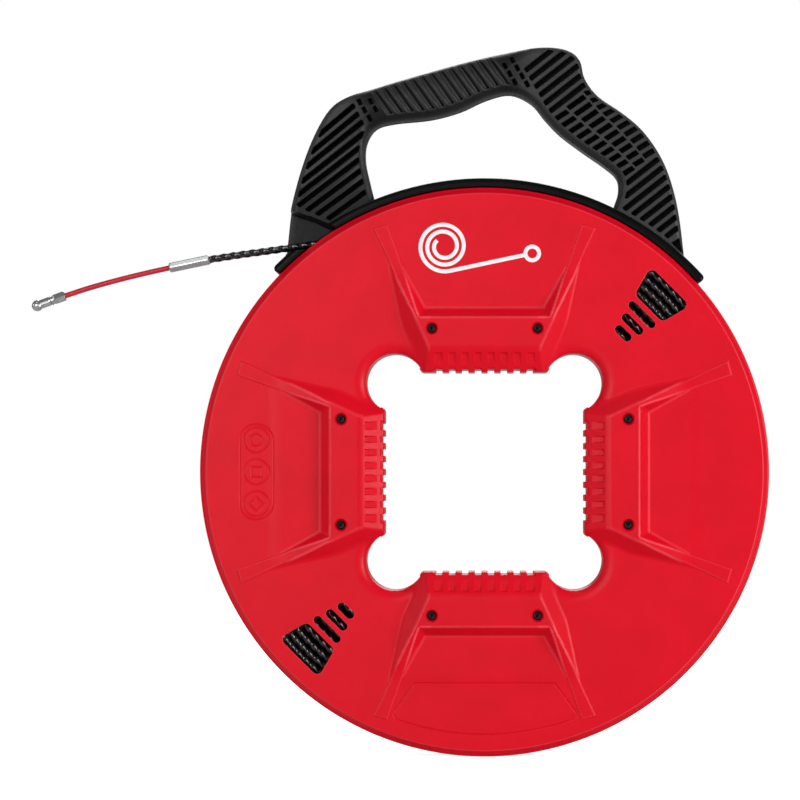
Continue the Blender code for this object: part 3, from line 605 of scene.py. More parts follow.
def frame_highlight(x, y):
    """Where the raised frames' edges and their recesses' feet get a painted highlight, less on the pads."""
    u, v = np.minimum(np.abs(x), np.abs(y)), np.maximum(np.abs(x), np.abs(y))
    beyond = beyond_recess(u, v)
    share = outward_bend(face_height, x, y, *FRAME_BENDS)
    share = share * (v > POCKET_TOP + 1 * MM) * (1 - PADS_SPARED * ease(*PADS_SPARED_FROM, v))
    share = share * (1 - MOUTH_SPARED * (beyond < 0.0) * (v < RECESS_END[0] + MOUTH_REACH))
    # A painted highlight also along the hollow bend at each recess's foot.
    foot = (beyond < FOOT_REACH[0]) & (v > RECESS_END[1] - FOOT_REACH[1]) & (v < RECESS_SIDE_FOOT[1][1])
    foot &= face_height(x, y) < FOOT_TOP
    return np.maximum(share, FOOT_HIGHLIGHT * foot * outward_bend(face_depth, x, y, *FOOT_BENDS))


# Marks moulded into the front: a tall capsule with three roundels on one side, and an empty plate below.
MARK_DEPTH = 0.00045
MARK_HALF_WIDTH = 0.00038
CAPSULE_X = -0.140
CAPSULE_RADIUS = 0.0103
CAPSULE_HALF_SPAN = 0.0190
ROUNDEL_RADIUS = 0.0077
ROUNDEL_PITCH = 0.0196
ROUNDEL_SIGN = 0.0036
PLATE_TOP = 0.1296
PLATE_CORNERS = ((0.0430, 0.1296), (0.0562, 0.1478), (0.0548, 0.1512))
PLATE_RADIUS = 0.1612


def plate_outline():
    """The plate's outline below the opening, clockwise from its top right corner."""
    side_deg = math.degrees(math.atan2(PLATE_CORNERS[-1][1], PLATE_CORNERS[-1][0]))
    right = [(x, -y) for x, y in PLATE_CORNERS]
    return right + arc(PLATE_RADIUS, -side_deg, side_deg - 180, 16) + [(-x, y) for x, y in right[::-1]]


PLATE = plate_outline()


def marked_height(x, y):
    """The front's height: the face with its moulded marks."""
    height = face_height(x, y)
    side = (x < CAPSULE_X + 1.5 * CAPSULE_RADIUS) & (np.abs(y) < 1.8 * CAPSULE_HALF_SPAN)
    dx, dy = x[side] - CAPSULE_X, y[side]
    groove = np.abs(np.hypot(dx, np.maximum(np.abs(dy) - CAPSULE_HALF_SPAN, 0)) - CAPSULE_RADIUS)
    for place, shape in ((ROUNDEL_PITCH, "ring"), (0.0, "square"), (-ROUNDEL_PITCH, "diamond")):
        ey = dy - place
        groove = np.minimum(groove, np.abs(np.hypot(dx, ey) - ROUNDEL_RADIUS))
        if shape == "ring":
            sign = np.hypot(dx, ey) - ROUNDEL_SIGN
        elif shape == "square":
            sign = np.maximum(np.abs(dx), np.abs(ey)) - 0.85 * ROUNDEL_SIGN
        else:
            sign = (np.abs(dx) + np.abs(ey)) / math.sqrt(2) - 0.85 * ROUNDEL_SIGN
        groove = np.minimum(groove, np.abs(sign))
    height[side] -= MARK_DEPTH * np.exp(-((groove / MARK_HALF_WIDTH) ** 2))
    below = (y < -0.95 * PLATE_TOP) & (np.abs(x) < 1.5 * PLATE_CORNERS[0][0])
    groove = distance_to(x[below], y[below], PLATE)
    height[below] -= MARK_DEPTH * np.exp(-((groove / MARK_HALF_WIDTH) ** 2))
    return height


def opening_outline():
    """The hand opening's outline, anticlockwise: ribs along each side, and a round lobe at each corner."""
    side = [(SIDE_HALF_LENGTH, RIB_TIP)]
    fillet = 0.35 * MM
    for i in range(RIB_COUNT):
        middle = RIB_PITCH * ((RIB_COUNT - 1) / 2 - i)
        for edge, sign in ((middle + RIB_HALF_WIDTH, 1), (middle - RIB_HALF_WIDTH, -1)):
            low, high = (edge + sign * fillet, RIB_TIP), (edge - sign * fillet, RIB_GROOVE)
            turn = [low, (edge, RIB_TIP + fillet / 2), (edge, RIB_GROOVE - fillet / 2), high]
            side += turn if sign > 0 else turn[::-1]
    side.append((-SIDE_HALF_LENGTH, RIB_TIP))
    lobe = arc(LOBE_RADIUS, LOBE_START_DEG, 270 - LOBE_START_DEG, LOBE_STEPS, (-LOBE_CENTRE, LOBE_CENTRE))
    mirrored = [(-y, -x) for x, y in LOBE_BEND[::-1]]
    outline = []
    for turns in range(4):
        outline += turned([*side, *LOBE_BEND, *lobe, *mirrored], 90 * turns)
    return resampled(outline, 0.9 * MM)


def grown(loop, distance):
    """A closed anticlockwise loop moved outwards by a distance."""
    ring = np.array(loop)
    onward = np.roll(ring, -1, axis=0) - np.roll(ring, 1, axis=0)
    out = np.stack([onward[:, 1], -onward[:, 0]], axis=1)
    out /= np.linalg.norm(out, axis=1)[:, None]
    return [tuple(p) for p in ring + out * distance]


def window_outlines():
    """Every window of a shell, with its rounded corners."""
    loops = []
    for angle in WINDOW_ANGLES_DEG:
        for inner, outer, short, long, corner in WINDOWS:
            corners = ((inner, -short), (outer, -long), (outer, long), (inner, short))
            loops.append(turned(rounded(corners, corner), angle))
    return loops


def screw_places():
    """The centres of the case screws."""
    return [p for turns in range(4) for p in turned(both_sides([SCREW_PLACE]), 90 * turns)]


def raised(loop, height):
    """Plane points at one height."""
    return [(x, y, height) for x, y in loop]


CIRCLE_STEPS = 360
HOLE_STEPS = 28
WINDOW_ROLL = 0.0005
WELL_ROLL = 0.4 * WINDOW_ROLL
SHELL_FINE = 0.55 * MM
SHELL_REACH = (0.15 * MM, 0.4 * MM, 0.8 * MM, 1.3 * MM)
FLAT_STEP = 6 * MM


def weave_rim(weave, row):
    """The shell's rim, from the face's edge round to its inner face. Gives the last row."""
    for radius, level in RIM_PROFILE:
        onward = weave.add(raised(arc(radius, 0, 360, CIRCLE_STEPS)[:-1], level))
        # Painted highlight along two rows of the rim's rounded edge.
        if level in RIM_HIGHLIT_HEIGHTS:
            weave.painted_highlight.update((i, RIM_HIGHLIGHT) for i in onward)
        weave.loft(row, onward)
        row = onward
    return row


def weave_window(weave, row, window, low):
    """A window's rolled edge and its walls, from its row on the face down to its row on the inner face."""
    for share in (0.25, 0.5, 0.75, 1.0):
        angle = share * math.pi / 2
        ring = grown(window, WINDOW_ROLL * (1 - math.sin(angle)))
        onward = weave.add(raised(ring, FACE_HEIGHT - WINDOW_ROLL * (1 - math.cos(angle))))
        # Painted highlight along the outer part of the window's rolled edge.
        if share <= WINDOW_HIGHLIT_SHARE:
            weave.painted_highlight.update((i, WINDOW_HIGHLIGHT) for i in onward)
        weave.loft(row, onward)
        row = onward
    weave.loft(row, low)


def weave_well(weave, hole, well, shank, low):
    """A screw's well, from its row on the frame down past the seat to the seam."""
    neck = grown(well, SCREW_NECK_RADIUS - SCREW_WELL_RADIUS)
    edge = weave.add(raised(well, FACE_HEIGHT + FRAME_HEIGHT - WELL_ROLL))
    cone = weave.add(raised(neck, SCREW_SEAT_HEIGHT + 0.6 * SCREW_HEAD_HEIGHT))
    foot = weave.add(raised(neck, SCREW_SEAT_HEIGHT))
    throat = weave.add(raised(shank, SCREW_SEAT_HEIGHT))
    for a, b in ((hole, edge), (edge, cone), (cone, foot), (foot, throat), (throat, low)):
        weave.loft(a, b)


def flat_field(outer, holes, level):
    """A level stretch of a shell's inside."""
    return Field(outer, holes, lambda x, y: np.full_like(x, level), FLAT_STEP, levels=(1, 1))


def make_shell(name, front, material, matrix):
    """A half of the case as one closed mesh, its seam at height 0 and its face upwards."""
    weave = Weave()
    opening = opening_outline()
    windows = window_outlines()
    wells = [arc(SCREW_WELL_RADIUS, 0, 360, HOLE_STEPS, c)[:-1] for c in screw_places()]
    shanks = [arc(SCREW_HOLE_RADIUS, 0, 360, HOLE_STEPS, c)[:-1] for c in screw_places()]
    holes = [grown(w, WINDOW_ROLL) for w in windows]
    if front:
        holes += [grown(w, WELL_ROLL) for w in wells]
    height = marked_height if front else face_height
    face_edge = arc(FACE_RADIUS, 0, 360, CIRCLE_STEPS)[:-1]
    # The face gets painted highlights along the frames' edges and the recesses' feet.
    top = Field(face_edge, [opening, *holes], height, SHELL_FINE, reach=SHELL_REACH, rub=frame_highlight)
    loops = top.weave(weave)
    row = weave_rim(weave, loops[0])
    inner_radius, inner_height = RIM_PROFILE[-1]
    drum = arc(DRUM_RADIUS, 0, 360, CIRCLE_STEPS // 2)[:-1]
    inner_edge = arc(inner_radius, 0, 360, CIRCLE_STEPS)[:-1]
    under = flat_field(inner_edge, [drum, *windows], inner_height).weave(weave, flip=True)
    weave.loft(row, under[0])
    seam = flat_field(drum, [opening, *shanks], SEAM_HEIGHT).weave(weave, flip=True)
    weave.loft(under[1], seam[0])
    weave.loft(loops[1], seam[1])
    for hole, window, low in zip(loops[2:], windows, under[2:]):
        weave_window(weave, hole, window, low)
    if front:
        for hole, well, shank, low in zip(loops[2 + len(windows) :], wells, shanks, seam[2:]):
            weave_well(weave, hole, well, shank, low)
    else:
        for shank, low in zip(shanks, seam[2:]):
            end = weave.add(raised(shank, PILOT_DEPTH))
            weave.loft(low, end)
            weave.cap(end)
    return solid(weave, name, material, 40.0, matrix)


# ---------------------------------------------------------------- the handle

ARCH_HALF_WIDTH = 0.0140
ARCH_SIDE = 0.0098
GRIP_SIDE = 0.0010
ARCH_EDGE = 0.0042
GRIP_EDGE = 0.0125
ARCH_EDGE_BLEND = 2 * MM
# Painted highlights on the arch: along its outward bends, and over the tops of the arms' ribs.
ARCH_BENDS = (60.0, 900.0)
ARCH_EDGE_HIGHLIGHT = 0.6
RIB_TOP_HIGHLIGHT = 0.64
LEFT_RIBS_HIGHLIT_FROM = (0.173, 0.178)
RIBS_HIGHLIT_WITHIN = (3.0 * MM, 5.0 * MM)
ARCH_FOOT_RADIUS = 0.1775
ARCH_OUTSIDE = (
    (-0.1236, 0.1240), (-0.1216, 0.1440), (-0.1192, 0.1630), (-0.1127, 0.1875), (-0.1050, 0.2075),
    (-0.0955, 0.2235), (-0.0840, 0.2315), (-0.0640, 0.2386), (-0.0350, 0.2471), (-0.0050, 0.2552),
    (0.0200, 0.2602), (0.0391, 0.2619), (0.0520, 0.2596), (0.0588, 0.2535), (0.0618, 0.2425),
    (0.0700, 0.2316), (0.0850, 0.2213), (0.0975, 0.2104), (0.1081, 0.1954), (0.1150, 0.1790),
    (0.1200, 0.1575), (0.1240, 0.1240),
)
ARCH_INSIDE = (
    (0.0760, 0.1520), (0.0800, 0.1640), (0.0828, 0.1730), (0.0818, 0.1815), (0.0742, 0.1886),
    (0.0600, 0.1985), (0.0465, 0.2087), (0.0373, 0.2182), (0.0290, 0.2278), (0.0160, 0.2330),
    (0.0010, 0.2296), (-0.0150, 0.2224), (-0.0330, 0.2176), (-0.0550, 0.2152), (-0.0666, 0.2118),
    (-0.0728, 0.2030), (-0.0735, 0.1920), (-0.0708, 0.1790), (-0.0680, 0.1680), (-0.0640, 0.1550),
)
CHUTE = (
    (-0.1400, 0.1690), (-0.1190, 0.1612), (-0.1050, 0.1568), (-0.0900, 0.1500), (-0.0820, 0.1420),
    (-0.0880, 0.1403), (-0.1400, 0.1327),
)
CHUTE_WALL_HEIGHT = -0.0029
CHUTE_WALL_LEAN = 0.0021
CHUTE_ROOM = 0.0014
CHUTE_LOWER_SIDE_FROM = 4
CHUTE_CORNER = (-0.070, 0.175)

# Where the grip fades into the arms, going up and towards either side, and the box that holds its ridges.
GRIP_FADE_UP = (0.196, 0.214)
GRIP_FADE_LEFT = (-0.086, -0.068)
GRIP_FADE_RIGHT = (0.010, 0.034)
RIDGED_X = (-0.080, 0.030)
RIDGED_ABOVE = 0.205

# Ridges across the grip. They stand in a frame turned by RIDGE_TURN_DEG, lean a little in it, and repeat.
RIDGE_TURN_DEG = 28.0
RIDGE_LEAN = 0.115
RIDGE_LEAN_FROM = 0.218
RIDGE_FIRST = 0.0903
RIDGE_PITCH = 0.00583
RIDGES_START = 0.0505
RIDGES_END = 0.1262
RIDGE_VALLEY = (-0.00175, 0.00068, 0.0020)
RIDGE_DIP = (0.00170, 0.00040, 0.0006)
RIDGE_CROWN = (0.00060, 0.00070)
RIDGE_BORDER_IN = 0.0060
RIDGE_BORDER_OUT = 0.0022

# Slots in both arms, in a frame turned by SLOT_TURN_DEG: s runs along them and t across. An arm's room for
# slots lies past an x, further in than its borders from the outer and the inner edge, and within some
# lines across the arm, each given as (s, t, slope). SLOT_EDGE is how far in and down a slot's rolled edge
# goes, in shares of SLOT_ROLL.
SLOT_TURN_DEG = 41.0
ARM_REACH = 0.23
LEFT_ROOM_X = -0.062
LEFT_ROOM_BORDERS = (2.3 * MM, 3.4 * MM)
LEFT_ROOM_FOOT = (0.0198, 0.199, -0.50)
LEFT_ROOM_TOP = (0.0853, 0.212, 0.27)
RIGHT_ROOM_X = 0.018
RIGHT_ROOM_BORDERS = (1.7 * MM, 4.4 * MM)
RIGHT_ROOM_RADIUS = 0.1826
RIGHT_ROOM_START = (0.1770, 0.150, 0.19)
SLOT_WIDTH = 0.0036
SLOT_SHORTEST = 1.2 * SLOT_WIDTH
SLOT_PART_SHORTEST = 2.0 * MM
SLOT_CORNER = 0.0010
SLOT_ROLL = 0.00030
SLOT_EDGE = ((0.3, 0.04 / 0.30), (1.0, 1.0))
SLOT_DRAFT = 0.0003
LEFT_SLOT_DEPTH = 0.0080
LEFT_SLOT_FROM = 0.055
LEFT_SLOT_ROWS = (0.2237, 0.2184, 0.2133, 0.2077, 0.2024, 0.1968, 0.1909, 0.1849, 0.1785)
LEFT_SLOT_LEAN = (-0.020, -0.009)
RIGHT_SLOT_DEPTH = 0.0048
RIGHT_SLOT_FROM = 0.190
RIGHT_SLOT_TOP = 0.1696
RIGHT_SLOT_PITCH = 0.00583
RIGHT_SLOT_COUNT = 24
RIGHT_SLOT_LEAN = -0.05
DIVIDED_SLOTS = range(6, 16)
DIVIDER_IN = ((0.1845, 0.1390), (0.1872, 0.1220), (0.1902, 0.1060), (0.1922, 0.0920), (0.1930, 0.0790))
DIVIDER_OUT = ((0.1990, 0.1390), (0.1990, 0.1220), (0.2005, 0.1060), (0.2012, 0.0920), (0.2005, 0.0790))
DIVIDER_HALF_WIDTH = 0.00050
HEEL_CORNER = 0.35 * MM
HEEL_POCKET = ((0.1794, 0.0312), (0.1798, 0.0218), (0.1806, 0.0218), (0.1852, 0.0304))

# Rows of small pockets where the grip meets the arms, in the ridges' frame: (s, first pocket's t, how many).
POCKET_ROWS = (
    (0.0402, 0.2374, 3), (0.0463, 0.2346, 2), (0.1284, 0.2150, 3), (0.1342, 0.2161, 4),
)
POCKET_PITCH = 0.0058
POCKET_SIZE = (0.0028, 0.0046)
POCKET_DEPTH = 0.0055
POCKET_CORNER = 0.8 * MM
POCKET_LEAN = 0.5 * RIDGE_LEAN


def circle_crossing(line, radius):
    """The first point of a line at this radius, and the rest of the line beyond it."""
    for i, (a, b) in enumerate(zip(line, line[1:])):
        ra, rb = math.hypot(*a), math.hypot(*b)
        if ra <= radius < rb:
            share = (radius - ra) / (rb - ra)
            return [(a[0] + (b[0] - a[0]) * share, a[1] + (b[1] - a[1]) * share), *line[i + 1 :]]
    raise ValueError("the line never leaves the circle")


def clipped_outside(line, radius):
    """The part of a line outside a circle, for a line that starts and ends inside it."""
    return circle_crossing(circle_crossing(line, radius)[::-1], radius)[::-1]


def arch_curves():
    """The arch's outer and inner edge, both clipped where they enter the shoe."""
    outer = [tuple(p) for p in smooth_through(ARCH_OUTSIDE, 5)]
    inner = [tuple(p) for p in smooth_through(ARCH_INSIDE, 5)]
    return clipped_outside(outer, ARCH_FOOT_RADIUS), clipped_outside(inner, ARCH_FOOT_RADIUS)


ARCH_OUTER_EDGE, ARCH_INNER_EDGE = arch_curves()


def foot_arc(start, end):
    """The arch's lower edge inside the shoe, between two points of its feet."""
    angles = [math.degrees(math.atan2(y, x)) for x, y in (start, end)]
    steps = max(2, round(abs(angles[1] - angles[0])))
    return arc(ARCH_FOOT_RADIUS, *angles, steps)[1:-1]


def arch_outline():
    """The arch's outline, anticlockwise: from its left foot along the inner edge last."""
    outer, inner = ARCH_OUTER_EDGE, ARCH_INNER_EDGE
    loop = outer + foot_arc(outer[-1], inner[0]) + inner + foot_arc(inner[-1], outer[0])
    return resampled(loop[::-1], 1.0 * MM)


def grip_share(x, y):
    """1 over the grip, 0 over the arms."""
    return ease(*GRIP_FADE_UP, y) * ease(*GRIP_FADE_LEFT, x) * (1 - ease(*GRIP_FADE_RIGHT, x))


def edge_distances(x, y):
    """Each point's distance to the arch's outer edge, and to its inner edge."""
    return [distance_to(x, y, edge, closed=False) for edge in (ARCH_OUTER_EDGE, ARCH_INNER_EDGE)]


def arch_body(x, y):
    """The height of the arch's front without its ridges and chute."""
    grip = grip_share(x, y)
    near = smooth_min(*edge_distances(x, y), ARCH_EDGE_BLEND)
    side = ARCH_SIDE + (GRIP_SIDE - ARCH_SIDE) * grip
    edge = ARCH_EDGE + (GRIP_EDGE - ARCH_EDGE) * grip
    away = np.clip(1 - near / edge, 0, 1)
    return side + (ARCH_HALF_WIDTH - side) * np.sqrt(1 - away * away)


def ridge_relief(x, y):
    """How much the grooves between the grip's ridges take off the surface."""
    turn = math.radians(RIDGE_TURN_DEG)
    s = x * math.cos(turn) + y * math.sin(turn)
    t = -x * math.sin(turn) + y * math.cos(turn)
    across = s + RIDGE_LEAN * (t - RIDGE_LEAN_FROM)
    place = np.mod(across - RIDGE_FIRST + RIDGE_PITCH / 2, RIDGE_PITCH) - RIDGE_PITCH / 2
    relief = np.zeros_like(x)
    for middle, width, depth in (RIDGE_VALLEY, RIDGE_DIP):
        off = np.abs(place - middle)
        off = np.minimum(off, RIDGE_PITCH - off)
        relief += depth * np.exp(-((off / width) ** 2))
    relief += 0.2 * MM * ease(RIDGE_DIP[0], RIDGE_DIP[0] + 0.4 * MM, place)
    crown, fall = RIDGE_CROWN
    relief += fall * (1 - np.cos(2 * math.pi * (place - crown) / RIDGE_PITCH)) / 2
    reach = ease(RIDGES_START, RIDGES_START + 1.0 * MM, across)
    reach *= 1 - ease(RIDGES_END - 1.0 * MM, RIDGES_END, across)
    outer, inner = edge_distances(x, y)
    reach *= ease(RIDGE_BORDER_IN - 0.5 * MM, RIDGE_BORDER_IN + 0.7 * MM, inner)
    reach *= ease(RIDGE_BORDER_OUT - 1.0 * MM, RIDGE_BORDER_OUT + 1.5 * MM, outer)
    return relief * reach


def arch_back_height(x, y):
    """The arch's back, as a height towards the back."""
    height = arch_body(x, y)
    grip = (x > RIDGED_X[0]) & (x < RIDGED_X[1]) & (y > RIDGED_ABOVE)
    height[grip] -= ridge_relief(x[grip], y[grip])
    return height


def arch_highlight(x, y):
    """Where the arch gets a painted highlight: its outward bends, and the tops of the arms' ribs."""
    edges = ARCH_EDGE_HIGHLIGHT * outward_bend(arch_back_height, x, y, *ARCH_BENDS)
    arms = 1 - grip_share(x, y)
    ribs = ease(*LEFT_RIBS_HIGHLIT_FROM, y) * arms * (x < 0) + (x > 0) * arms
    ribs = ribs * ease(*RIBS_HIGHLIT_WITHIN, edge_distances(x, y)[1])
    return np.maximum(edges, RIB_TOP_HIGHLIGHT * ribs)


def arch_front_height(x, y):
    """The arch's front, with the chute that the tape leaves by."""
    height = arch_back_height(x, y)
    low = (x < CHUTE_CORNER[0]) & (y < CHUTE_CORNER[1])
    roomy = [(u, v - CHUTE_ROOM) for u, v in CHUTE[CHUTE_LOWER_SIDE_FROM:]]
    away = signed_distance(x[low], y[low], [*CHUTE[:CHUTE_LOWER_SIDE_FROM], *roomy])
    wall = ease(-CHUTE_WALL_LEAN, 0.0, away)
    height[low] = CHUTE_WALL_HEIGHT + (height[low] - CHUTE_WALL_HEIGHT) * wall
    return height


def allowed_span(row, lean, start, allowed):
    """Where a leaning line across an arm lies on material that a slot may take: its s from and to."""
    s = np.arange(0.0, ARM_REACH, 0.1 * MM)
    t = row + lean * (s - start)
    turn = math.radians(SLOT_TURN_DEG)
    x, y = s * math.cos(turn) - t * math.sin(turn), s * math.sin(turn) + t * math.cos(turn)
    free = allowed(s, t, x, y)
    return (s[free][0], s[free][-1]) if free.any() else None


def slot_between(row, lean, start, allowed):
    """A slot's four corners along a leaning line, or nothing where there is no room."""
    below, above = row - SLOT_WIDTH / 2, row + SLOT_WIDTH / 2
    low = allowed_span(below, lean, start, allowed)
    high = allowed_span(above, lean, start, allowed)
    if not low or not high or min(low[1] - low[0], high[1] - high[0]) < SLOT_SHORTEST:
        return None
    ends = ((low[0], below), (low[1], below), (high[1], above), (high[0], above))
    return [(s, t + lean * (s - start)) for s, t in ends]


def clear_of_edges(x, y, borders):
    """Which points lie on the arch, further in than these borders from its outer and its inner edge."""
    outer, inner = edge_distances(x, y)
    return inside(x, y, ARCH_LOOP) & (outer > borders[0]) & (inner > borders[1])


def line_at(line, t):
    """The s of a line across an arm, given by a point and its slope, at each t."""
    known_s, known_t, slope = line
    return known_s + (t - known_t) * slope


def left_arm_room(s, t, x, y):
    """Where the left arm's slots may lie."""
    room = (x < LEFT_ROOM_X) & clear_of_edges(x, y, LEFT_ROOM_BORDERS)
    return room & (s > line_at(LEFT_ROOM_FOOT, t)) & (s < line_at(LEFT_ROOM_TOP, t))


def right_arm_room(s, t, x, y):
    """Where the right arm's slots may lie."""
    room = (x > RIGHT_ROOM_X) & clear_of_edges(x, y, RIGHT_ROOM_BORDERS)
    return room & (np.hypot(x, y) > RIGHT_ROOM_RADIUS) & (s > line_at(RIGHT_ROOM_START, t))


def divider_at(line, t):
    """Where one of the right arm's dividing ribs crosses a row."""
    points = smooth_through(line, 6)
    return float(np.interp(-t, [-p[1] for p in points], [p[0] for p in points]))


def divided(corners):
    """A slot split in three by the dividing ribs."""
    (s0, t0), (s1, t1), (s2, t2), (s3, t3) = corners
    bounds = [(s0, s3)]
    for line in (DIVIDER_IN, DIVIDER_OUT):
        low, high = divider_at(line, t0), divider_at(line, t3)
        bounds += [(low - DIVIDER_HALF_WIDTH, high - DIVIDER_HALF_WIDTH)]
        bounds += [(low + DIVIDER_HALF_WIDTH, high + DIVIDER_HALF_WIDTH)]
    bounds.append((s1, s2))
    parts = []
    for (a_low, a_high), (b_low, b_high) in zip(bounds[::2], bounds[1::2]):
        if min(b_low - a_low, b_high - a_high) > SLOT_PART_SHORTEST:
            parts.append([(a_low, t0), (b_low, t1), (b_high, t2), (a_high, t3)])
    return parts


def arm_slots():
    """Every slot and pocket of one face of the arch: (outline, depth)."""
    found = []
    for i, row in enumerate(LEFT_SLOT_ROWS):
        lean = LEFT_SLOT_LEAN[0] + LEFT_SLOT_LEAN[1] * i
        corners = slot_between(row, lean, LEFT_SLOT_FROM, left_arm_room)
        found.append((turned(rounded(corners, SLOT_CORNER), SLOT_TURN_DEG), LEFT_SLOT_DEPTH))
    for i in range(RIGHT_SLOT_COUNT):
        row = RIGHT_SLOT_TOP - i * RIGHT_SLOT_PITCH
        corners = slot_between(row, RIGHT_SLOT_LEAN, RIGHT_SLOT_FROM, right_arm_room)
        for part in divided(corners) if i in DIVIDED_SLOTS else [corners]:
            inner = i in DIVIDED_SLOTS and part[0][0] < DIVIDER_OUT[0][0]
            depth = LEFT_SLOT_DEPTH if inner else RIGHT_SLOT_DEPTH
            radius = 0.6 * SLOT_CORNER if i in DIVIDED_SLOTS else SLOT_CORNER
            found.append((turned(rounded(part, radius), SLOT_TURN_DEG), depth))
    found.append((turned(rounded(HEEL_POCKET, HEEL_CORNER), SLOT_TURN_DEG), RIGHT_SLOT_DEPTH))
    wide, long = POCKET_SIZE
    for s, t, count in POCKET_ROWS:
        for i in range(count):
            middle = t - i * POCKET_PITCH
            across = s - POCKET_LEAN * (middle - RIDGE_LEAN_FROM)
            signs = ((-1, -1), (1, -1), (1, 1), (-1, 1))
            box = [(across + dx * wide / 2, middle + dy * long / 2) for dx, dy in signs]
            found.append((turned(rounded(box, POCKET_CORNER, 4), RIDGE_TURN_DEG), POCKET_DEPTH))
    return found


ARCH_LOOP = arch_outline()


def sink(weave, rim, outline, depth, sign):
    """Rolled edge, walls and floor of a slot whose rim is already woven. Its walls and floor are darker as
    painted shade, and duller.
    """
    tops = [weave.points[i][2] for i in rim]
    row = rim
    for inset, drop in SLOT_EDGE:
        ring = grown(outline, -SLOT_ROLL * inset)
        onward = weave.add((x, y, top - sign * SLOT_ROLL * drop) for (x, y), top in zip(ring, tops))
        weave.loft(row, onward)
        row = onward
    first_face = len(weave.faces)
    floor = sum(tops) / len(tops) - sign * depth
    onward = weave.add(raised(grown(outline, -SLOT_ROLL - SLOT_DRAFT), floor))
    weave.loft(row, onward)
    weave.cap(onward)
    # The slot material's darker colour is painted shade.
    weave.finish_from(first_face, 1)


def make_arch(material, slot_material):
    """The handle's arch as one closed mesh, ribbed on both faces."""
    weave = Weave()
    slots = arm_slots()
    holes = [grown(outline, SLOT_ROLL) for outline, _ in slots]
    rims = []
    for height, sign in ((arch_front_height, 1), (arch_back_height, -1)):
        field = Field(
            ARCH_LOOP,
            holes,
            height,
            0.55 * MM,
            levels=(2, 6),
            bend=0.05,
            reach=(0.2 * MM, 0.5 * MM, 1.0 * MM),
            rub=arch_highlight,
            grain_deg=RIDGE_TURN_DEG + math.degrees(math.atan(RIDGE_LEAN)),
        )
        loops = field.weave(weave, flip=sign < 0, mirror=sign < 0)
        rims.append(loops[0])
        for (outline, depth), rim in zip(slots, loops[1:]):
            sink(weave, rim, outline, depth, sign)
    weave.loft(rims[0], rims[1])
    arch = solid(weave, "handle_arch", material)
    # The second material, for the slots' walls and floors, is darker as painted shade.
    arch.data.materials.append(slot_material)
    return arch


SHOE_INNER_RADIUS = 0.1755
SHOE_OUTER_RADIUS = 0.1809
SHOE_HALF_WIDTH = 0.0190
SHOE_START_DEG = 41.3
SHOE_END_DEG = 136.2
SHOE_OUTER_EDGE = 0.0032
SHOE_INNER_EDGE = 0.0004
SHOE_STEP_DEG = 0.75
# The profile's points on the shoe's rounded outer front edge that get a painted highlight.
SHOE_HIGHLIT_POINTS = (1, 2)


def corner_points(centre_r, centre_z, radius, start_deg):
    """A quarter round in a (radius, height) profile."""
    steps = 4 if radius < 1 * MM else 9
    return [polar(radius, start_deg + 90 * i / steps, (centre_r, centre_z)) for i in range(steps + 1)]


def shoe_profile():
    """The shoe's section across the rim: (radius, height), anticlockwise."""
    outer, inner = SHOE_OUTER_EDGE, SHOE_INNER_EDGE
    wide = SHOE_HALF_WIDTH
    profile = corner_points(SHOE_OUTER_RADIUS - outer, wide - outer, outer, 0)
    profile += corner_points(SHOE_INNER_RADIUS + inner, wide - inner, inner, 90)
    profile += corner_points(SHOE_INNER_RADIUS + inner, inner - wide, inner, 180)
    return profile + corner_points(SHOE_OUTER_RADIUS - outer, outer - wide, outer, 270)


def shoe_stations():
    """Angles along the shoe, each with the share of the full section there, which shrinks to round tips."""
    middle = (SHOE_INNER_RADIUS + SHOE_OUTER_RADIUS) / 2
    tip_deg = math.degrees((SHOE_OUTER_RADIUS - SHOE_INNER_RADIUS) / 2 / middle)
    span = SHOE_END_DEG - SHOE_START_DEG - 2 * tip_deg
    quarter = [k * math.pi / 14 for k in range(1, 8)]
    start = [(SHOE_START_DEG + tip_deg * (1 - math.cos(a)), math.sin(a)) for a in quarter]
    steps = round(span / SHOE_STEP_DEG)
    straight = [(SHOE_START_DEG + tip_deg + span * k / steps, 1.0) for k in range(1, steps)]
    end = [(SHOE_START_DEG + SHOE_END_DEG - angle, share) for angle, share in reversed(start)]
    return start + straight + end


def make_shoe(material):
    """The curved shoe that rides on the rim, with round tips and the chute cut through its front."""
    middle = (SHOE_INNER_RADIUS + SHOE_OUTER_RADIUS) / 2
    weave = Weave()
    rows = []
    for angle, share in shoe_stations():
        points = []
        for radius, height in shoe_profile():
            x, y = polar(middle + (radius - middle) * share, angle)
            points.append((x, y, height * (0.94 + 0.06 * share)))
        row = weave.add(points)
        # Painted highlight along the shoe's outer front edge.
        weave.painted_highlight.update((row[i], 1.0) for i in SHOE_HIGHLIT_POINTS)
        rows.append(row)
    for low, high in zip(rows, rows[1:]):
        weave.loft(low, high)
    weave.cap(rows[0])
    weave.cap(rows[-1])
    shoe = solid(weave, "handle_shoe", material)
    cutter = Weave()
    low = cutter.add((x, y, CHUTE_WALL_HEIGHT - 0.3 * MM) for x, y in CHUTE)
    high = cutter.add((x, y, 2 * SHOE_HALF_WIDTH) for x, y in CHUTE)
    cutter.loft(low, high)
    cutter.cap(low)
    cutter.cap(high)
    return cut_away(shoe, solid(cutter, "chute_cutter", material))


# ---------------------------------------------------------------- the tape

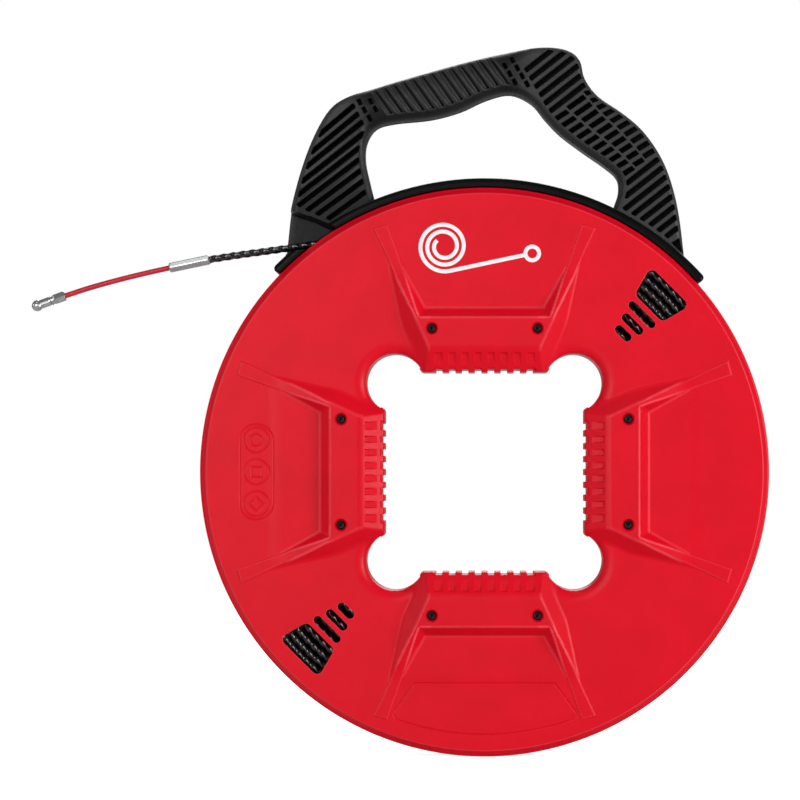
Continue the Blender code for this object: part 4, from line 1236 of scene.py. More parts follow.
TAPE_RADIUS = 0.0024
TAPE_LAY = 0.0180
TAPE_SECTION_STEPS = 12
TAPE_FINE_STEP = 0.0013
TAPE_COARSE_DEG = 8.0
COIL_FIRST_RADIUS = 0.1086
COIL_ROW_PITCH = 0.00515
COIL_ROWS = 11
COIL_COLUMNS = (-0.0148, -0.0100, -0.0052, 0.0, 0.0052, 0.0100, 0.0148)
COIL_MIDDLE_ROWS = 9
COIL_CROSSING_DEG = 14.0
COIL_START_DEG = 2.0
COIL_WANDER = 0.00022
FRONT_SIGHT_DEG = (45.0, 225.0)
BACK_SIGHT_DEG = (135.0, 315.0)
SIGHT_HALF_DEG = 8.5
RIM_SLOT_SEEN_HEIGHT = 0.006
WINDOWS_SEEN_HEIGHT = 0.009
TAPE_LINE_RADIUS = 0.15475
TAPE_LINE_DEG = 98.3
LEAD_START = 0.010
LEAD_END = 0.076
TAIL_ROUTE = (
    (-0.0978, 0.1421), (-0.1150, 0.1396), (-0.1330, 0.1370), (-0.1520, 0.1344), (-0.1705, 0.1315),
)
LEADER_ROUTE = (
    (-0.1935, 0.1268), (-0.2100, 0.1231), (-0.2270, 0.1189), (-0.2440, 0.1142), (-0.2610, 0.1087),
)
LEADER_RADIUS = 0.00165
FERRULE_ENDS = ((-0.1702, 0.1316), (-0.1952, 0.1264))
FERRULE_RADIUS = 0.0034
SLEEVE_ENDS = ((-0.2598, 0.1092), (-0.2684, 0.1061))
SLEEVE_RADIUS = 0.0034
EYE_END = (-0.2802, 0.1018)
EYE_NECK_RADIUS = 0.0028
EYE_BALL_RADIUS = 0.0035
EYE_SLOT = (0.0012, 0.0088)
EYE_SLOT_HALF_WIDTH = 0.0005


def strand_radius(angle):
    """The radius of the tape's three-strand section at an angle."""
    return TAPE_RADIUS * (0.70 + 0.30 * abs(math.cos(1.5 * angle)))


def tube(weave, centres, turns, section):
    """A closed tube along points. turns are its twist at each, and section gives its radius by angle."""
    rows = []
    for i, centre in enumerate(centres):
        along = (centres[min(i + 1, len(centres) - 1)] - centres[max(i - 1, 0)]).normalized()
        up = (UP - along * UP.dot(along)).normalized()
        side = along.cross(up)
        points = []
        for k in range(TAPE_SECTION_STEPS):
            angle = 2 * math.pi * k / TAPE_SECTION_STEPS
            radius = section(angle)
            rise, shift = math.cos(angle + turns[i]), math.sin(angle + turns[i])
            points.append(centre + up * (radius * rise) + side * (radius * shift))
        rows.append(weave.add(points))
    for low, high in zip(rows, rows[1:]):
        weave.loft(low, high)
    weave.cap(rows[0][::-1])
    weave.cap(rows[-1])


def coil_turns():
    """(radius, height) of each turn of the wound tape, row by row from the drum outwards."""
    turns = []
    for row in range(COIL_ROWS):
        heights = [z for z in COIL_COLUMNS if z or row < COIL_MIDDLE_ROWS]
        if row % 2:
            heights.reverse()
        turns += [(COIL_FIRST_RADIUS + row * COIL_ROW_PITCH, z) for z in heights]
    return turns


def seen_closely(row, height, degrees):
    """Whether a stretch of the coil shows in a window or in the slot round the rim."""
    top_row = row == COIL_ROWS - 1
    if abs(height) < RIM_SLOT_SEEN_HEIGHT and (top_row or (height == 0.0 and row == COIL_MIDDLE_ROWS - 1)):
        return True
    if abs(height) < WINDOWS_SEEN_HEIGHT:
        return False
    for sight in FRONT_SIGHT_DEG if height > 0 else BACK_SIGHT_DEG:
        if abs((degrees - sight + 180) % 360 - 180) < SIGHT_HALF_DEG:
            return True
    return False


def coil_angles(row, height, radius):
    """Angles round one turn, close together where it shows."""
    angles = [0.0]
    fine = math.degrees(TAPE_FINE_STEP / radius)
    while angles[-1] < 360:
        here = angles[-1] + COIL_START_DEG
        step = fine
        if not seen_closely(row, height, here % 360):
            while step < TAPE_COARSE_DEG and not seen_closely(row, height, (here + step) % 360):
                step += fine
        angles.append(angles[-1] + step)
    angles.pop()
    return angles


def make_coil(material):
    """All the wound tape as one tube, which steps from turn to turn near the anchor clip."""
    weave = Weave()
    turns = coil_turns()
    chance = np.random.default_rng(7)
    centres, twists = [], []
    twist = 0.0
    before = None
    for number, (radius, height) in enumerate(turns):
        following = turns[number + 1] if number + 1 < len(turns) else (radius, height)
        row = round((radius - COIL_FIRST_RADIUS) / COIL_ROW_PITCH)
        waves = chance.uniform(-1, 1, 6)
        for degrees in coil_angles(row, height, radius):
            share = float(ease(360 - COIL_CROSSING_DEG, 360, degrees))
            r = radius + (following[0] - radius) * share
            z = height + (following[1] - height) * share
            a = math.radians(degrees)
            wander = COIL_WANDER * math.sin(a / 2) ** 2
            outward = waves[0] * math.sin(2 * a) + waves[1] * math.cos(5 * a) + waves[2] * math.sin(11 * a)
            r += wander * outward
            z += wander * (waves[3] * math.cos(3 * a) + waves[4] * math.sin(7 * a))
            x, y = polar(r, degrees + COIL_START_DEG)
            centre = Vector((x, y, z))
            if before is not None and (centre - before).length < 4 * TAPE_FINE_STEP:
                twist += 2 * math.pi * (centre - before).length / TAPE_LAY
            before = centre
            centres.append(centre)
            twists.append(twist)
        twist += waves[5]
    tube(weave, centres, twists, strand_radius)
    return solid(weave, "wound_tape", material, 60.0)


def tape_line(along):
    """A point of the line that the tape leaves the coil by, this far past the line's nearest to the axis."""
    x, y = polar(TAPE_LINE_RADIUS, TAPE_LINE_DEG)
    dx, dy = polar(along, TAPE_LINE_DEG + 90)
    return (x + dx, y + dy)


def evenly(points, step):
    """Points a step apart along a line of points, both ends included."""
    known = np.array([tuple(p) for p in points])
    run = np.concatenate([[0.0], np.cumsum(np.linalg.norm(np.diff(known, axis=0), axis=1))])
    count = max(2, round(run[-1] / step))
    places = np.linspace(0.0, run[-1], count + 1)
    return [Vector((np.interp(s, run, known[:, 0]), np.interp(s, run, known[:, 1]), 0.0)) for s in places]


def twisted_run(name, route, start, material):
    """A free stretch of the twisted tape, its twist counted from a distance along the tape."""
    centres = evenly(smooth_through(route, 8), TAPE_FINE_STEP / 2)
    step = (centres[1] - centres[0]).length
    twists = [2 * math.pi * (start + i * step) / TAPE_LAY for i in range(len(centres))]
    weave = Weave()
    tube(weave, centres, twists, strand_radius)
    return solid(weave, name, material, 60.0), centres


def make_leader(material):
    """The coated rod between the tape and the pulling eye."""
    centres = evenly(smooth_through(LEADER_ROUTE, 8), 0.0012)
    weave = Weave()
    tube(weave, centres, [0.0] * len(centres), lambda angle: LEADER_RADIUS)
    return solid(weave, "leader", material, 60.0), centres


def axial_matrix(start, end):
    """Puts a piece's own +z along the line from one plane point to another."""
    a, b = Vector((*start, 0.0)), Vector((*end, 0.0))
    turn = (b - a).to_track_quat("Z", "Y").to_matrix().to_4x4()
    return Matrix.Translation(a) @ turn


# ---------------------------------------------------------------- turned pieces

ROUND_STEPS = 48


def turned_piece(weave, profile, section=None):
    """A closed (radius, height) profile turned about z, whose radius a section function may change."""
    rows = []
    for radius, height in profile:
        points = []
        for k in range(ROUND_STEPS):
            angle = 2 * math.pi * k / ROUND_STEPS
            r = section(radius, height, angle) if section else radius
            points.append((r * math.cos(angle), r * math.sin(angle), height))
        rows.append(weave.add(points))
    for low, high in zip(rows, [*rows[1:], rows[0]]):
        weave.loft(low, high)


def hexagon(flat_radius, angle, rounding=0.06):
    """The radius of a six-sided section with slightly round corners."""
    off = (angle + math.pi / 6) % (math.pi / 3) - math.pi / 6
    corner = flat_radius / math.cos(math.pi / 6)
    return min(flat_radius / math.cos(off), corner * (1 - rounding))


def make_ferrule(material):
    """The six-sided ferrule, chamfered and bored at both ends."""
    length = math.dist(*FERRULE_ENDS)
    flat = FERRULE_RADIUS * math.cos(math.pi / 6)
    bore, small_bore, depth = TAPE_RADIUS + 0.3 * MM, LEADER_RADIUS + 0.3 * MM, 4 * MM
    chamfer = 1.3 * MM

    def section(radius, height, angle):
        if radius < 1.02 * bore:
            return radius
        end = min(height, length - height)
        limit = FERRULE_RADIUS - max(0.0, chamfer - end) ** 2 * 0.55 / MM
        return min(hexagon(flat, angle), limit)

    stations = [0.0, 0.3, 0.6, 0.9, 1.3, 2.5, 5.0, 8.0, 11.0]
    outside = [s * MM for s in stations] + [length - s * MM for s in stations[::-1]]
    profile = [(bore, depth), (bore, 0.15 * MM), (bore + 0.15 * MM, 0.0)]
    profile += [(FERRULE_RADIUS, h) for h in outside]
    profile += [(small_bore + 0.2 * MM, length), (small_bore, length - 0.2 * MM)]
    profile.append((small_bore, length - depth))
    weave = Weave()
    turned_piece(weave, profile, section)
    return solid(weave, "crimp_ferrule", material, 25.0, axial_matrix(*FERRULE_ENDS))


def make_sleeve(material):
    """The crimped sleeve on the leader's end: six flats between two round collars."""
    length = math.dist(*SLEEVE_ENDS)
    bore = LEADER_RADIUS + 0.3 * MM
    depth = 4 * MM

    def section(radius, height, angle):
        if radius < 1.05 * bore or height > 0.80 * length or height < 0.06 * length:
            return radius
        return min(radius, hexagon(0.88 * radius, angle, 0.02))

    profile = [
        (bore, depth),
        (bore, 0.1 * MM),
        (bore + 0.1 * MM, 0.0),
        (0.86 * SLEEVE_RADIUS, 0.0),
        (0.95 * SLEEVE_RADIUS, 0.4 * MM),
        (SLEEVE_RADIUS, 0.9 * MM),
        (SLEEVE_RADIUS, 0.74 * length),
        (0.93 * SLEEVE_RADIUS, 0.78 * length),
        (0.80 * SLEEVE_RADIUS, 0.81 * length),
        (0.80 * SLEEVE_RADIUS, 0.90 * length),
        (0.92 * SLEEVE_RADIUS, 0.93 * length),
        (0.92 * SLEEVE_RADIUS, length - 0.2 * MM),
        (0.86 * SLEEVE_RADIUS, length),
        (0.02 * SLEEVE_RADIUS, length),
        (0.02 * SLEEVE_RADIUS, depth),
    ]
    weave = Weave()
    turned_piece(weave, profile, section)
    return solid(weave, "leader_sleeve", material, 25.0, axial_matrix(*SLEEVE_ENDS))


def make_eye(material):
    """The pulling eye: a round body with a milled slot through it, and a ball nose."""
    reach = math.dist(SLEEVE_ENDS[1], EYE_END)
    ball = reach - EYE_BALL_RADIUS
    gap = 0.3 * MM
    meet = math.acos(EYE_NECK_RADIUS / EYE_BALL_RADIUS)
    profile = [(0.02 * MM, gap), (0.90 * EYE_NECK_RADIUS, gap), (EYE_NECK_RADIUS, gap + 0.25 * MM)]
    profile += [(EYE_NECK_RADIUS, gap + (ball - 2.6 * MM) * k / 4) for k in (1, 2, 3)]
    for k in range(13):
        angle = -meet + (math.pi / 2 + meet) * k / 12
        radius = max(0.02 * MM, EYE_BALL_RADIUS * math.cos(angle))
        profile.append((radius, ball + EYE_BALL_RADIUS * math.sin(angle)))
    weave = Weave()
    turned_piece(weave, profile)
    matrix = axial_matrix(SLEEVE_ENDS[1], EYE_END)
    eye = solid(weave, "pulling_eye", material, 30.0, matrix)
    cutter = Weave()
    start, end = EYE_SLOT
    half = EYE_SLOT_HALF_WIDTH
    ends = [polar(half, a, (0.0, end - half)) for a in range(0, 181, 30)]
    ends += [polar(half, a, (0.0, start + half)) for a in range(180, 361, 30)]
    deep = 2 * EYE_BALL_RADIUS
    front, back = (cutter.add((across, side, along) for across, along in ends) for side in (deep, -deep))
    cutter.loft(front, back)
    cutter.cap(front)
    cutter.cap(back)
    return cut_away(eye, solid(cutter, "eye_cutter", material, matrix=matrix), 30.0)


SCREW_SHANK_RADIUS = 0.0018
SCREW_SHANK_LENGTH = 0.0420
SOCKET_RADIUS = 0.00150
SOCKET_DEPTH = 0.0016
SCREW_TURNS_DEG = (12.0, 47.0, 25.0, 3.0, 38.0, 19.0, 52.0, 30.0)
SCREW_THREAD_PITCH = 0.0018
SCREW_THREADS = 11


def six_lobes(radius, angle):
    """The radius of a six-lobed socket."""
    return radius * (0.87 + 0.13 * math.cos(6 * angle))


def screw_mesh():
    """A pan-head screw with a six-lobed socket and a coarse thread, its seat at z = 0."""
    head, tall, shank = SCREW_HEAD_RADIUS, SCREW_HEAD_HEIGHT, SCREW_SHANK_RADIUS

    def section(radius, height, angle):
        in_socket = height > tall - SOCKET_DEPTH - 0.01 * MM and radius <= SOCKET_RADIUS + 0.01 * MM
        return six_lobes(radius, angle) if in_socket else radius

    profile = [(0.05 * MM, -SCREW_SHANK_LENGTH), (0.5 * shank, -SCREW_SHANK_LENGTH + 0.3 * MM)]
    start = -SCREW_SHANK_LENGTH + 1.5 * MM
    for k in range(SCREW_THREADS):
        low = start + k * SCREW_THREAD_PITCH
        for share, rise in ((0.78, 0.0), (1.0, 0.35), (0.78, 0.7)):
            profile.append((share * shank, low + rise * SCREW_THREAD_PITCH))
    profile += [
        (0.80 * shank, start + SCREW_THREADS * SCREW_THREAD_PITCH),
        (0.95 * shank, -0.3 * MM),
        (0.95 * shank, 0.0),
        (0.96 * head, 0.0),
        (head, 0.15 * MM),
        (head, 0.52 * tall),
    ]
    for k in range(1, 6):
        angle = math.pi / 2 * k / 5
        across, up = 0.72 * head + 0.28 * head * math.cos(angle), 0.52 * tall + 0.48 * tall * math.sin(angle)
        profile.append((across, up))
    profile += [
        (SOCKET_RADIUS + 0.25 * MM, tall),
        (SOCKET_RADIUS, tall - 0.12 * MM),
        (SOCKET_RADIUS, tall - SOCKET_DEPTH),
        (0.05 * MM, tall - SOCKET_DEPTH - 0.5 * MM),
    ]
    weave = Weave()
    turned_piece(weave, profile, section)
    return weave.mesh("case_screw", 30.0, consistent=True)


# ---------------------------------------------------------------- the printed sign

SIGN_MIDDLE = (-0.0250, 0.1385)
SIGN_TILT_DEG = 12.0
SIGN_LIFT = 0.00006
SIGN_LINE = 0.0024
SIGN_COIL = (0.0055, 0.0155)
SIGN_TURNS = 2.4
SIGN_TAIL = 0.0480
SIGN_RING = 0.0042


def ribbon(weave, line, width, height):
    """A thin strip of print along plane points, lying on the case's face."""
    known = [Vector(p) for p in line]
    left, right = [], []
    for i, point in enumerate(known):
        along = (known[min(i + 1, len(known) - 1)] - known[max(i - 1, 0)]).normalized()
        across = Vector((-along.y, along.x)) * width / 2
        left.append(point + across)
        right.append(point - across)
    rows = []
    for edge in (left, right):
        x, y = np.array([p.x for p in edge]), np.array([p.y for p in edge])
        face = height(x, y)
        rows.append(weave.add(zip(x, y, face - 0.1 * MM)))
        rows.append(weave.add(zip(x, y, face + SIGN_LIFT)))
    left_low, left_high, right_low, right_high = rows
    ring = [left_low, left_high, right_high, right_low]
    for a, b in zip(ring, [*ring[1:], ring[0]]):
        weave.loft(a, b, closed=False)
    weave.cap([row[0] for row in ring])
    weave.cap([row[-1] for row in ring][::-1])


def sign_line():
    """Two lines: a spiral that runs out into a straight tail, and a small ring for the tail's end."""
    steps = 96
    inner, outer = SIGN_COIL
    line = []
    for k in range(steps + 1):
        share = k / steps
        line.append(polar(inner + (outer - inner) * share, -90 - SIGN_TURNS * 360 * (1 - share)))
    line += [(SIGN_TAIL * k / 12, -SIGN_COIL[1]) for k in range(1, 13)]
    ring_middle = (SIGN_TAIL + SIGN_RING, -SIGN_COIL[1])
    return line, arc(SIGN_RING, 0, 360, 40, ring_middle)


def make_sign(material):
    """A generic sign of what the reel holds, printed on the case's top."""
    weave = Weave()
    for line in sign_line():
        placed = [(x + SIGN_MIDDLE[0], y + SIGN_MIDDLE[1]) for x, y in turned(line, SIGN_TILT_DEG)]
        ribbon(weave, placed, SIGN_LINE, face_height)
    return solid(weave, "coil_sign", material, 30.0)


# ---------------------------------------------------------------- materials


class Finish:
    """A procedural material: one Principled shader with its texture nodes."""

    NOISE_SPAN = (0.3, 0.7)

    def __init__(self, name, colour, roughness, metallic=0.0, specular=0.5):
        self.material = bpy.data.materials.new(name)
        self.material.use_nodes = True
        self.tree = self.material.node_tree
        self.shader = self.tree.nodes["Principled BSDF"]
        self.shader.inputs["Base Color"].default_value = (*colour, 1.0)
        self.shader.inputs["Roughness"].default_value = roughness
        self.shader.inputs["Metallic"].default_value = metallic
        self.shader.inputs["Specular IOR Level"].default_value = specular
        self.place = self.tree.nodes.new("ShaderNodeTexCoord").outputs["Object"]
        self.height = None

    def node(self, kind, inputs=None, **settings):
        """A new node with its settings and inputs, linked where an input is a socket."""
        made = self.tree.nodes.new(kind)
        for name, value in settings.items():
            setattr(made, name, value)
        for name, value in (inputs or {}).items():
            if isinstance(value, bpy.types.NodeSocket):
                self.tree.links.new(value, made.inputs[name])
            else:
                made.inputs[name].default_value = value
        return made

    def noise(self, scale, detail):
        """Noise from 0 to 1, its scale in waves to the metre."""
        made = self.node("ShaderNodeTexNoise", {"Vector": self.place, "Scale": scale, "Detail": detail})
        return made.outputs["Fac"]

    def spread(self, noise, low, high):
        """A noise's usual span spread between two numbers."""
        start, end = self.NOISE_SPAN
        limits = {"Value": noise, "From Min": start, "From Max": end, "To Min": low, "To Max": high}
        return self.node("ShaderNodeMapRange", limits).outputs["Result"]

    def mixed(self, share, first, second):
        """The colour between two colours at a share of 0 to 1."""
        made = self.node("ShaderNodeMix", data_type="RGBA")
        self.tree.links.new(share, made.inputs["Factor"])
        for socket, colour in ((made.inputs[6], first), (made.inputs[7], second)):
            if isinstance(colour, bpy.types.NodeSocket):
                self.tree.links.new(colour, socket)
            else:
                socket.default_value = (*colour, 1.0)
        return made.outputs[2]

    def colour(self, socket):
        """Takes the base colour from a socket."""
        self.tree.links.new(socket, self.shader.inputs["Base Color"])

    def rough(self, socket):
        """Takes the roughness from a socket."""
        self.tree.links.new(socket, self.shader.inputs["Roughness"])

    def bump(self, socket, depth, strength):
        """Adds relief of this depth in metres."""
        inputs = {"Height": socket, "Distance": depth, "Strength": strength}
        if self.height is not None:
            inputs["Normal"] = self.height
        self.height = self.node("ShaderNodeBump", inputs).outputs["Normal"]
        self.tree.links.new(self.height, self.shader.inputs["Normal"])

    def edges(self):
        """How strong the painted highlight is: 0 on flat stretches and 1 on the piece's outward bends."""
        return self.node("ShaderNodeAttribute", attribute_name=HIGHLIGHT_ATTRIBUTE).outputs["Fac"]


def tint(colour, factor):
    """A colour made lighter or darker."""
    return tuple(min(1.0, c * factor) for c in colour)


def dressed(
    name, colour, roughness, cloud, gloss, grains, specular=0.5, metallic=0.0, highlight_colour=None, highlight_patches=None
):
    """A clouded, unevenly glossy material with fine grain, and a lighter colour painted as highlight where
    its mesh's highlight attribute is set.

    cloud, gloss and the highlight's patches each hold a noise's scale and detail and the two values it runs
    between: tints of the colour, roughnesses, and shares of the painted highlight that show. A grain is a
    noise's scale and detail, its depth in metres and its strength.
    """
    made = Finish(name, colour, roughness, metallic, specular)
    scale, detail, dark, light = cloud
    share = made.spread(made.noise(scale, detail), 0.0, 1.0)
    tone = made.mixed(share, tint(colour, dark), tint(colour, light))
    if highlight_colour:
        painted_highlight = made.edges()
        if highlight_patches:
            scale, detail, low, high = highlight_patches
            uneven = made.spread(made.noise(scale, detail), low, high)
            painted_highlight = made.node("ShaderNodeMath", {0: painted_highlight, 1: uneven}, operation="MULTIPLY").outputs[0]
        # Painted highlight: the lighter colour where the mesh's highlight attribute is set.
        tone = made.mixed(painted_highlight, tone, highlight_colour)
    made.colour(tone)
    scale, detail, low, high = gloss
    made.rough(made.spread(made.noise(scale, detail), low, high))
    for scale, detail, depth, strength in grains:
        made.bump(made.noise(scale, detail), depth, strength)
    return made.material


def metal(colour, roughness, metallic):
    """The finish of a plated metal, slightly uneven in tone and gloss."""
    return {
        "colour": colour,
        "roughness": roughness,
        "metallic": metallic,
        "cloud": (220.0, 4.0, 0.86, 1.08),
        "gloss": (700.0, 3.0, 0.85 * roughness, 1.25 * roughness),
        "grains": [(700.0, 2.0, 0.00001, 0.10)],
    }


STEEL_COLOUR = (0.450, 0.468, 0.465)
FINISHES = {
    # The case: impact-grade nylon with a fine spark-eroded texture.
    "moulded_red_nylon": {
        "colour": (0.590, 0.0022, 0.0125),
        "roughness": 0.44,
        "specular": 0.13,
        "cloud": (38.0, 4.0, 0.95, 1.04),
        "gloss": (620.0, 5.0, 0.30, 0.42),
        "grains": [(1700.0, 2.0, 0.00007, 0.55), (420.0, 2.0, 0.00005, 0.35)],
        # The lighter colour painted along the face's bends as highlight.
        "highlight_colour": (0.760, 0.0700, 0.0950),
        "highlight_patches": (240.0, 3.0, 0.60, 0.85),
    },
    # The handle's arch: glass-filled nylon, a little coarser, with painted highlights on its bends and rib
    # tops, and darker and duller deep in its slots as painted shade.
    "moulded_black_nylon": {
        "colour": (0.0040, 0.0040, 0.0043),
        "roughness": 0.42,
        "specular": 0.18,
        "cloud": (60.0, 4.0, 0.85, 1.25),
        "gloss": (500.0, 5.0, 0.36, 0.50),
        "grains": [(1500.0, 2.0, 0.00009, 0.6), (380.0, 2.0, 0.00006, 0.3)],
        "highlight_colour": (0.0460, 0.0460, 0.0470),
    },
    "slot_shade_black_nylon": {
        "colour": (0.0022, 0.0022, 0.0024),
        "roughness": 0.70,
        "specular": 0.12,
        "cloud": (180.0, 4.0, 0.6, 1.6),
        "gloss": (500.0, 5.0, 0.60, 0.85),
        "grains": [(900.0, 3.0, 0.00015, 0.6)],
    },
    # The shoe: smooth nylon, darker than the arch's as painted shade, with a painted highlight along its
    # outer edge.
    "shaded_smooth_black_nylon": {
        "colour": (0.0020, 0.0020, 0.0022),
        "roughness": 0.34,
        "specular": 0.08,
        "cloud": (70.0, 4.0, 0.8, 1.3),
        "gloss": (500.0, 5.0, 0.28, 0.42),
        "grains": [(1300.0, 2.0, 0.00005, 0.4)],
        "highlight_colour": (0.0700, 0.0680, 0.0660),
    },
    # The tape's glossy monofilament, and the coating of its leader.
    "black_polyester": {
        "colour": (0.0036, 0.0036, 0.0040),
        "roughness": 0.14,
        "specular": 0.62,
        "cloud": (90.0, 3.0, 0.7, 1.5),
        "gloss": (500.0, 3.0, 0.11, 0.17),
        "grains": [(600.0, 2.0, 0.00001, 0.15)],
    },
    "red_leader_coating": {
        "colour": (0.440, 0.0100, 0.0230),
        "roughness": 0.34,
        "specular": 0.30,
        "cloud": (120.0, 2.0, 0.92, 1.06),
        "gloss": (500.0, 3.0, 0.28, 0.38),
        "grains": [(500.0, 2.0, 0.00001, 0.08)],
    },
    "natural_acetal": {
        "colour": (0.780, 0.770, 0.730),
        "roughness": 0.35,
        "cloud": (70.0, 4.0, 0.93, 1.03),
        "gloss": (600.0, 4.0, 0.30, 0.42),
        "grains": [(1500.0, 2.0, 0.00005, 0.4)],
    },
    # The sign's ink, which takes the grain of the face under it.
    "white_pad_print": {
        "colour": (0.740, 0.730, 0.735),
        "roughness": 0.50,
        "cloud": (400.0, 4.0, 0.94, 1.03),
        "gloss": (620.0, 5.0, 0.42, 0.58),
        "grains": [(1700.0, 2.0, 0.00007, 0.5)],
    },
    "bright_plated_steel": metal(STEEL_COLOUR, 0.15, 0.88),
    "zinc_plated_steel": metal(tint(STEEL_COLOUR, 0.9), 0.28, 1.0),
    "black_oxide_steel": metal((0.006, 0.006, 0.007), 0.42, 0.6),
}


def finish_named(name):
    """A new material of one of the finishes."""
    return dressed(name, **FINISHES[name])


# ---------------------------------------------------------------- stage


def make_camera():
    """The camera: square on to the case, on its axis, shifted to frame the whole reel."""
    data = bpy.data.cameras.new("photo_camera")
    data.sensor_width = SENSOR_WIDTH
    data.lens = SENSOR_WIDTH * CAMERA_DISTANCE / VIEW_WIDTH
    data.shift_x = VIEW_MIDDLE[0] / VIEW_WIDTH
    data.shift_y = VIEW_MIDDLE[1] / VIEW_WIDTH
    camera = bpy.data.objects.new("photo_camera", data)
    camera.location = (0.0, -CAMERA_DISTANCE - FOCUS_HEIGHT, 0.0)
    camera.rotation_euler = (math.radians(90), 0.0, 0.0)
    bpy.context.scene.collection.objects.link(camera)
    bpy.context.scene.camera = camera


SOFTBOXES = (
    ("front_left", (-1.15, -3.0, 0.65), 1.6, 48.0),
    ("right_low", (2.1, -1.4, 0.25), 0.9, 47.0),
    ("left_grazing", (-2.3, -0.35, 0.6), 1.0, 6.0),
    ("top", (-0.5, -0.9, 2.3), 0.8, 3.0),
    ("back_top", (0.3, 2.0, 1.3), 1.6, 30.0),
)
WORLD_LIGHT = 0.22
WORLD_SEEN = 1.0
FLOOR_GLOW = 0.85
FLOOR_SHADE = 0.80
FLOOR_HALF_SIDE = 6.0


def make_lights():
    """Large soft boxes, and a dim white surround that shows as plain white."""
    for name, place, size, power in SOFTBOXES:
        data = bpy.data.lights.new(name, "AREA")
        data.size = size
        data.energy = power
        light = bpy.data.objects.new(name, data)
        light.location = place
        light.rotation_euler = (-Vector(place)).to_track_quat("-Z", "Y").to_euler()
        bpy.context.scene.collection.objects.link(light)
    world = bpy.data.worlds.new("studio")
    world.use_nodes = True
    bpy.context.scene.world = world
    nodes, links = world.node_tree.nodes, world.node_tree.links
    lighting = nodes["Background"]
    lighting.inputs["Strength"].default_value = WORLD_LIGHT
    seen = nodes.new("ShaderNodeBackground")
    seen.inputs["Strength"].default_value = WORLD_SEEN
    for background in (lighting, seen):
        background.inputs["Color"].default_value = (1.0, 1.0, 1.0, 1.0)
    path, either = nodes.new("ShaderNodeLightPath"), nodes.new("ShaderNodeMixShader")
    links.new(path.outputs["Is Camera Ray"], either.inputs["Fac"])
    links.new(lighting.outputs["Background"], either.inputs[1])
    links.new(seen.outputs["Background"], either.inputs[2])
    links.new(either.outputs["Shader"], nodes["World Output"].inputs["Surface"])
    bpy.context.scene.view_settings.view_transform = "Standard"


def make_floor():
    """A plain pale floor that the case's rim stands on. It glows for the camera only, and lights nothing."""
    weave = Weave()
    half = FLOOR_HALF_SIDE
    weave.cap(weave.add([(-half, -half, 0), (half, -half, 0), (half, half, 0), (-half, half, 0)]))
    pale = (FLOOR_SHADE, FLOOR_SHADE, FLOOR_SHADE)
    finish = Finish("pale_floor", pale, 0.8)
    shade = finish.spread(finish.noise(6.0, 3.0), 0.0, 1.0)
    finish.colour(finish.mixed(shade, tint(pale, 0.98), tint(pale, 1.02)))
    finish.shader.inputs["Emission Color"].default_value = (1.0, 1.0, 1.0, 1.0)
    seen = finish.node("ShaderNodeLightPath").outputs["Is Camera Ray"]
    glow = finish.node("ShaderNodeMath", {0: seen, 1: FLOOR_GLOW}, operation="MULTIPLY")
    finish.tree.links.new(glow.outputs[0], finish.shader.inputs["Emission Strength"])
    floor = bpy.data.objects.new("floor", weave.mesh("floor"))
    floor.location = (0.0, 0.0, cad_low.z)
    floor.data.materials.append(finish.material)
    bpy.context.scene.collection.objects.link(floor)


# ---------------------------------------------------------------- assembly

BACK_TURN = Matrix.Rotation(math.pi, 4, "Y")


def settle(piece, body, slot, *nodes):
    """Rides a piece on its body and lets it stand for CAD nodes, which it hides. Its slot argument is not
    used.
    """
    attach(piece, body)
    if nodes:
        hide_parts(*nodes)


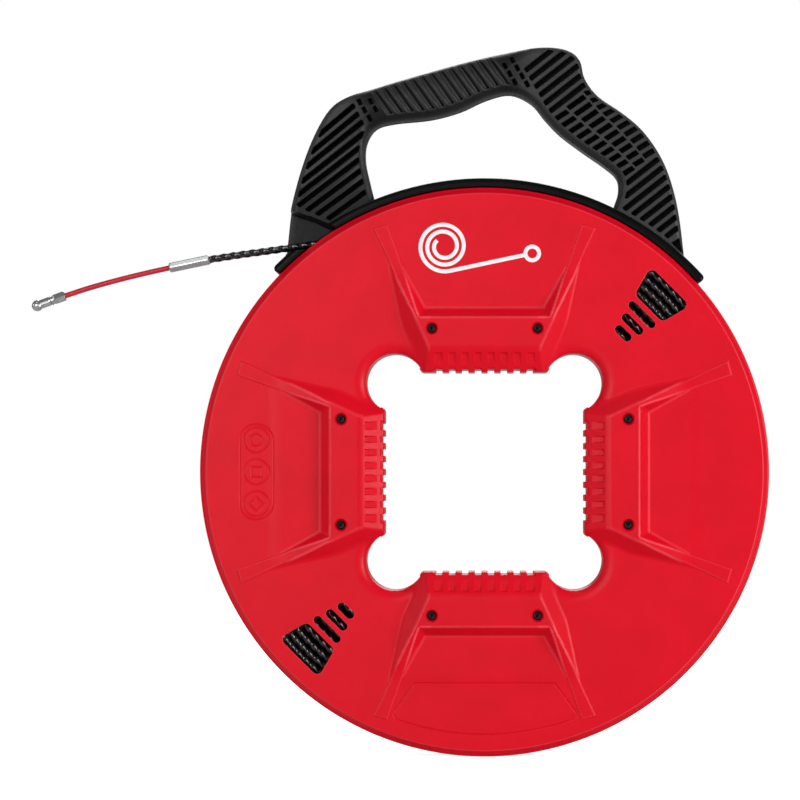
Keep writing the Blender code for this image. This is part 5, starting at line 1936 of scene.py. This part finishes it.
def make_free_end():
    """The tape's free end with its leader and fittings."""
    tape, steel = finish_named("black_polyester"), finish_named("bright_plated_steel")
    tail, tail_line = twisted_run("tape_tail_twist", TAIL_ROUTE, LEAD_END - LEAD_START, tape)
    settle(tail, "tape_end", "tape_polyester", "tape_tail")
    leader, leader_line = make_leader(finish_named("red_leader_coating"))
    settle(leader, "tape_end", "leader_red", "leader_rod")
    ferrule = make_ferrule(steel)
    settle(ferrule, "tape_end", "bright_steel", "tail_ferrule")
    sleeve = make_sleeve(steel)
    settle(sleeve, "tape_end", "bright_steel", "tip_sleeve")
    eye = make_eye(steel)
    settle(eye, "tape_end", "bright_steel", "tip_eyelet")
    lead, _ = twisted_run("tape_lead_twist", [tape_line(LEAD_START), tape_line(LEAD_END)], 0.0, tape)
    settle(lead, "tape_end", "tape_polyester", "tape_lead")


def make_case():
    """Both shells, their screws and the sign printed on the front."""
    material = finish_named("moulded_red_nylon")
    settle(make_shell("case_front", True, material, None), "case", "shell_red", "front_shell")
    settle(make_shell("case_back", False, material, BACK_TURN), "case", "shell_red", "back_shell")
    black = finish_named("black_oxide_steel")
    mesh = screw_mesh()
    mesh.materials.append(black)
    for i, (x, y) in enumerate(screw_places(), 1):
        screw = bpy.data.objects.new(f"case_screw_detail_{i}", mesh)
        bpy.context.scene.collection.objects.link(screw)
        turn = Matrix.Rotation(math.radians(SCREW_TURNS_DEG[i - 1]), 4, "Z")
        screw.matrix_world = UPRIGHT @ Matrix.Translation((x, y, SCREW_SEAT_HEIGHT)) @ turn
        settle(screw, "case", "screw_black", f"case_screw_{i}")
    settle(make_sign(finish_named("white_pad_print")), "case", "shell_red")
    return black


def make_handle():
    """The handle's arch and shoe."""
    arch = make_arch(finish_named("moulded_black_nylon"), finish_named("slot_shade_black_nylon"))
    for piece in (arch, make_shoe(finish_named("shaded_smooth_black_nylon"))):
        settle(piece, "handle", "handle_nylon", "handle_frame")


def dress_hidden_nodes(black):
    """Better materials for the CAD nodes that keep their shape."""
    steel = finish_named("zinc_plated_steel")
    finishes = {
        "shoe_rail": finish_named("natural_acetal"),
        "anchor_clip": steel,
        "anchor_screw": steel,
        **{f"rail_screw_{i}": black for i in range(1, 5)},
    }
    for name, material in finishes.items():
        node = bpy.data.objects[name]
        node.data.materials.clear()
        node.data.materials.append(material)


def main():
    """Builds the whole picture."""
    make_camera()
    make_free_end()
    black = make_case()
    settle(make_coil(finish_named("black_polyester")), "case", "tape_polyester", "tape_coil")
    make_handle()
    dress_hidden_nodes(black)
    make_lights()
    make_floor()


main()
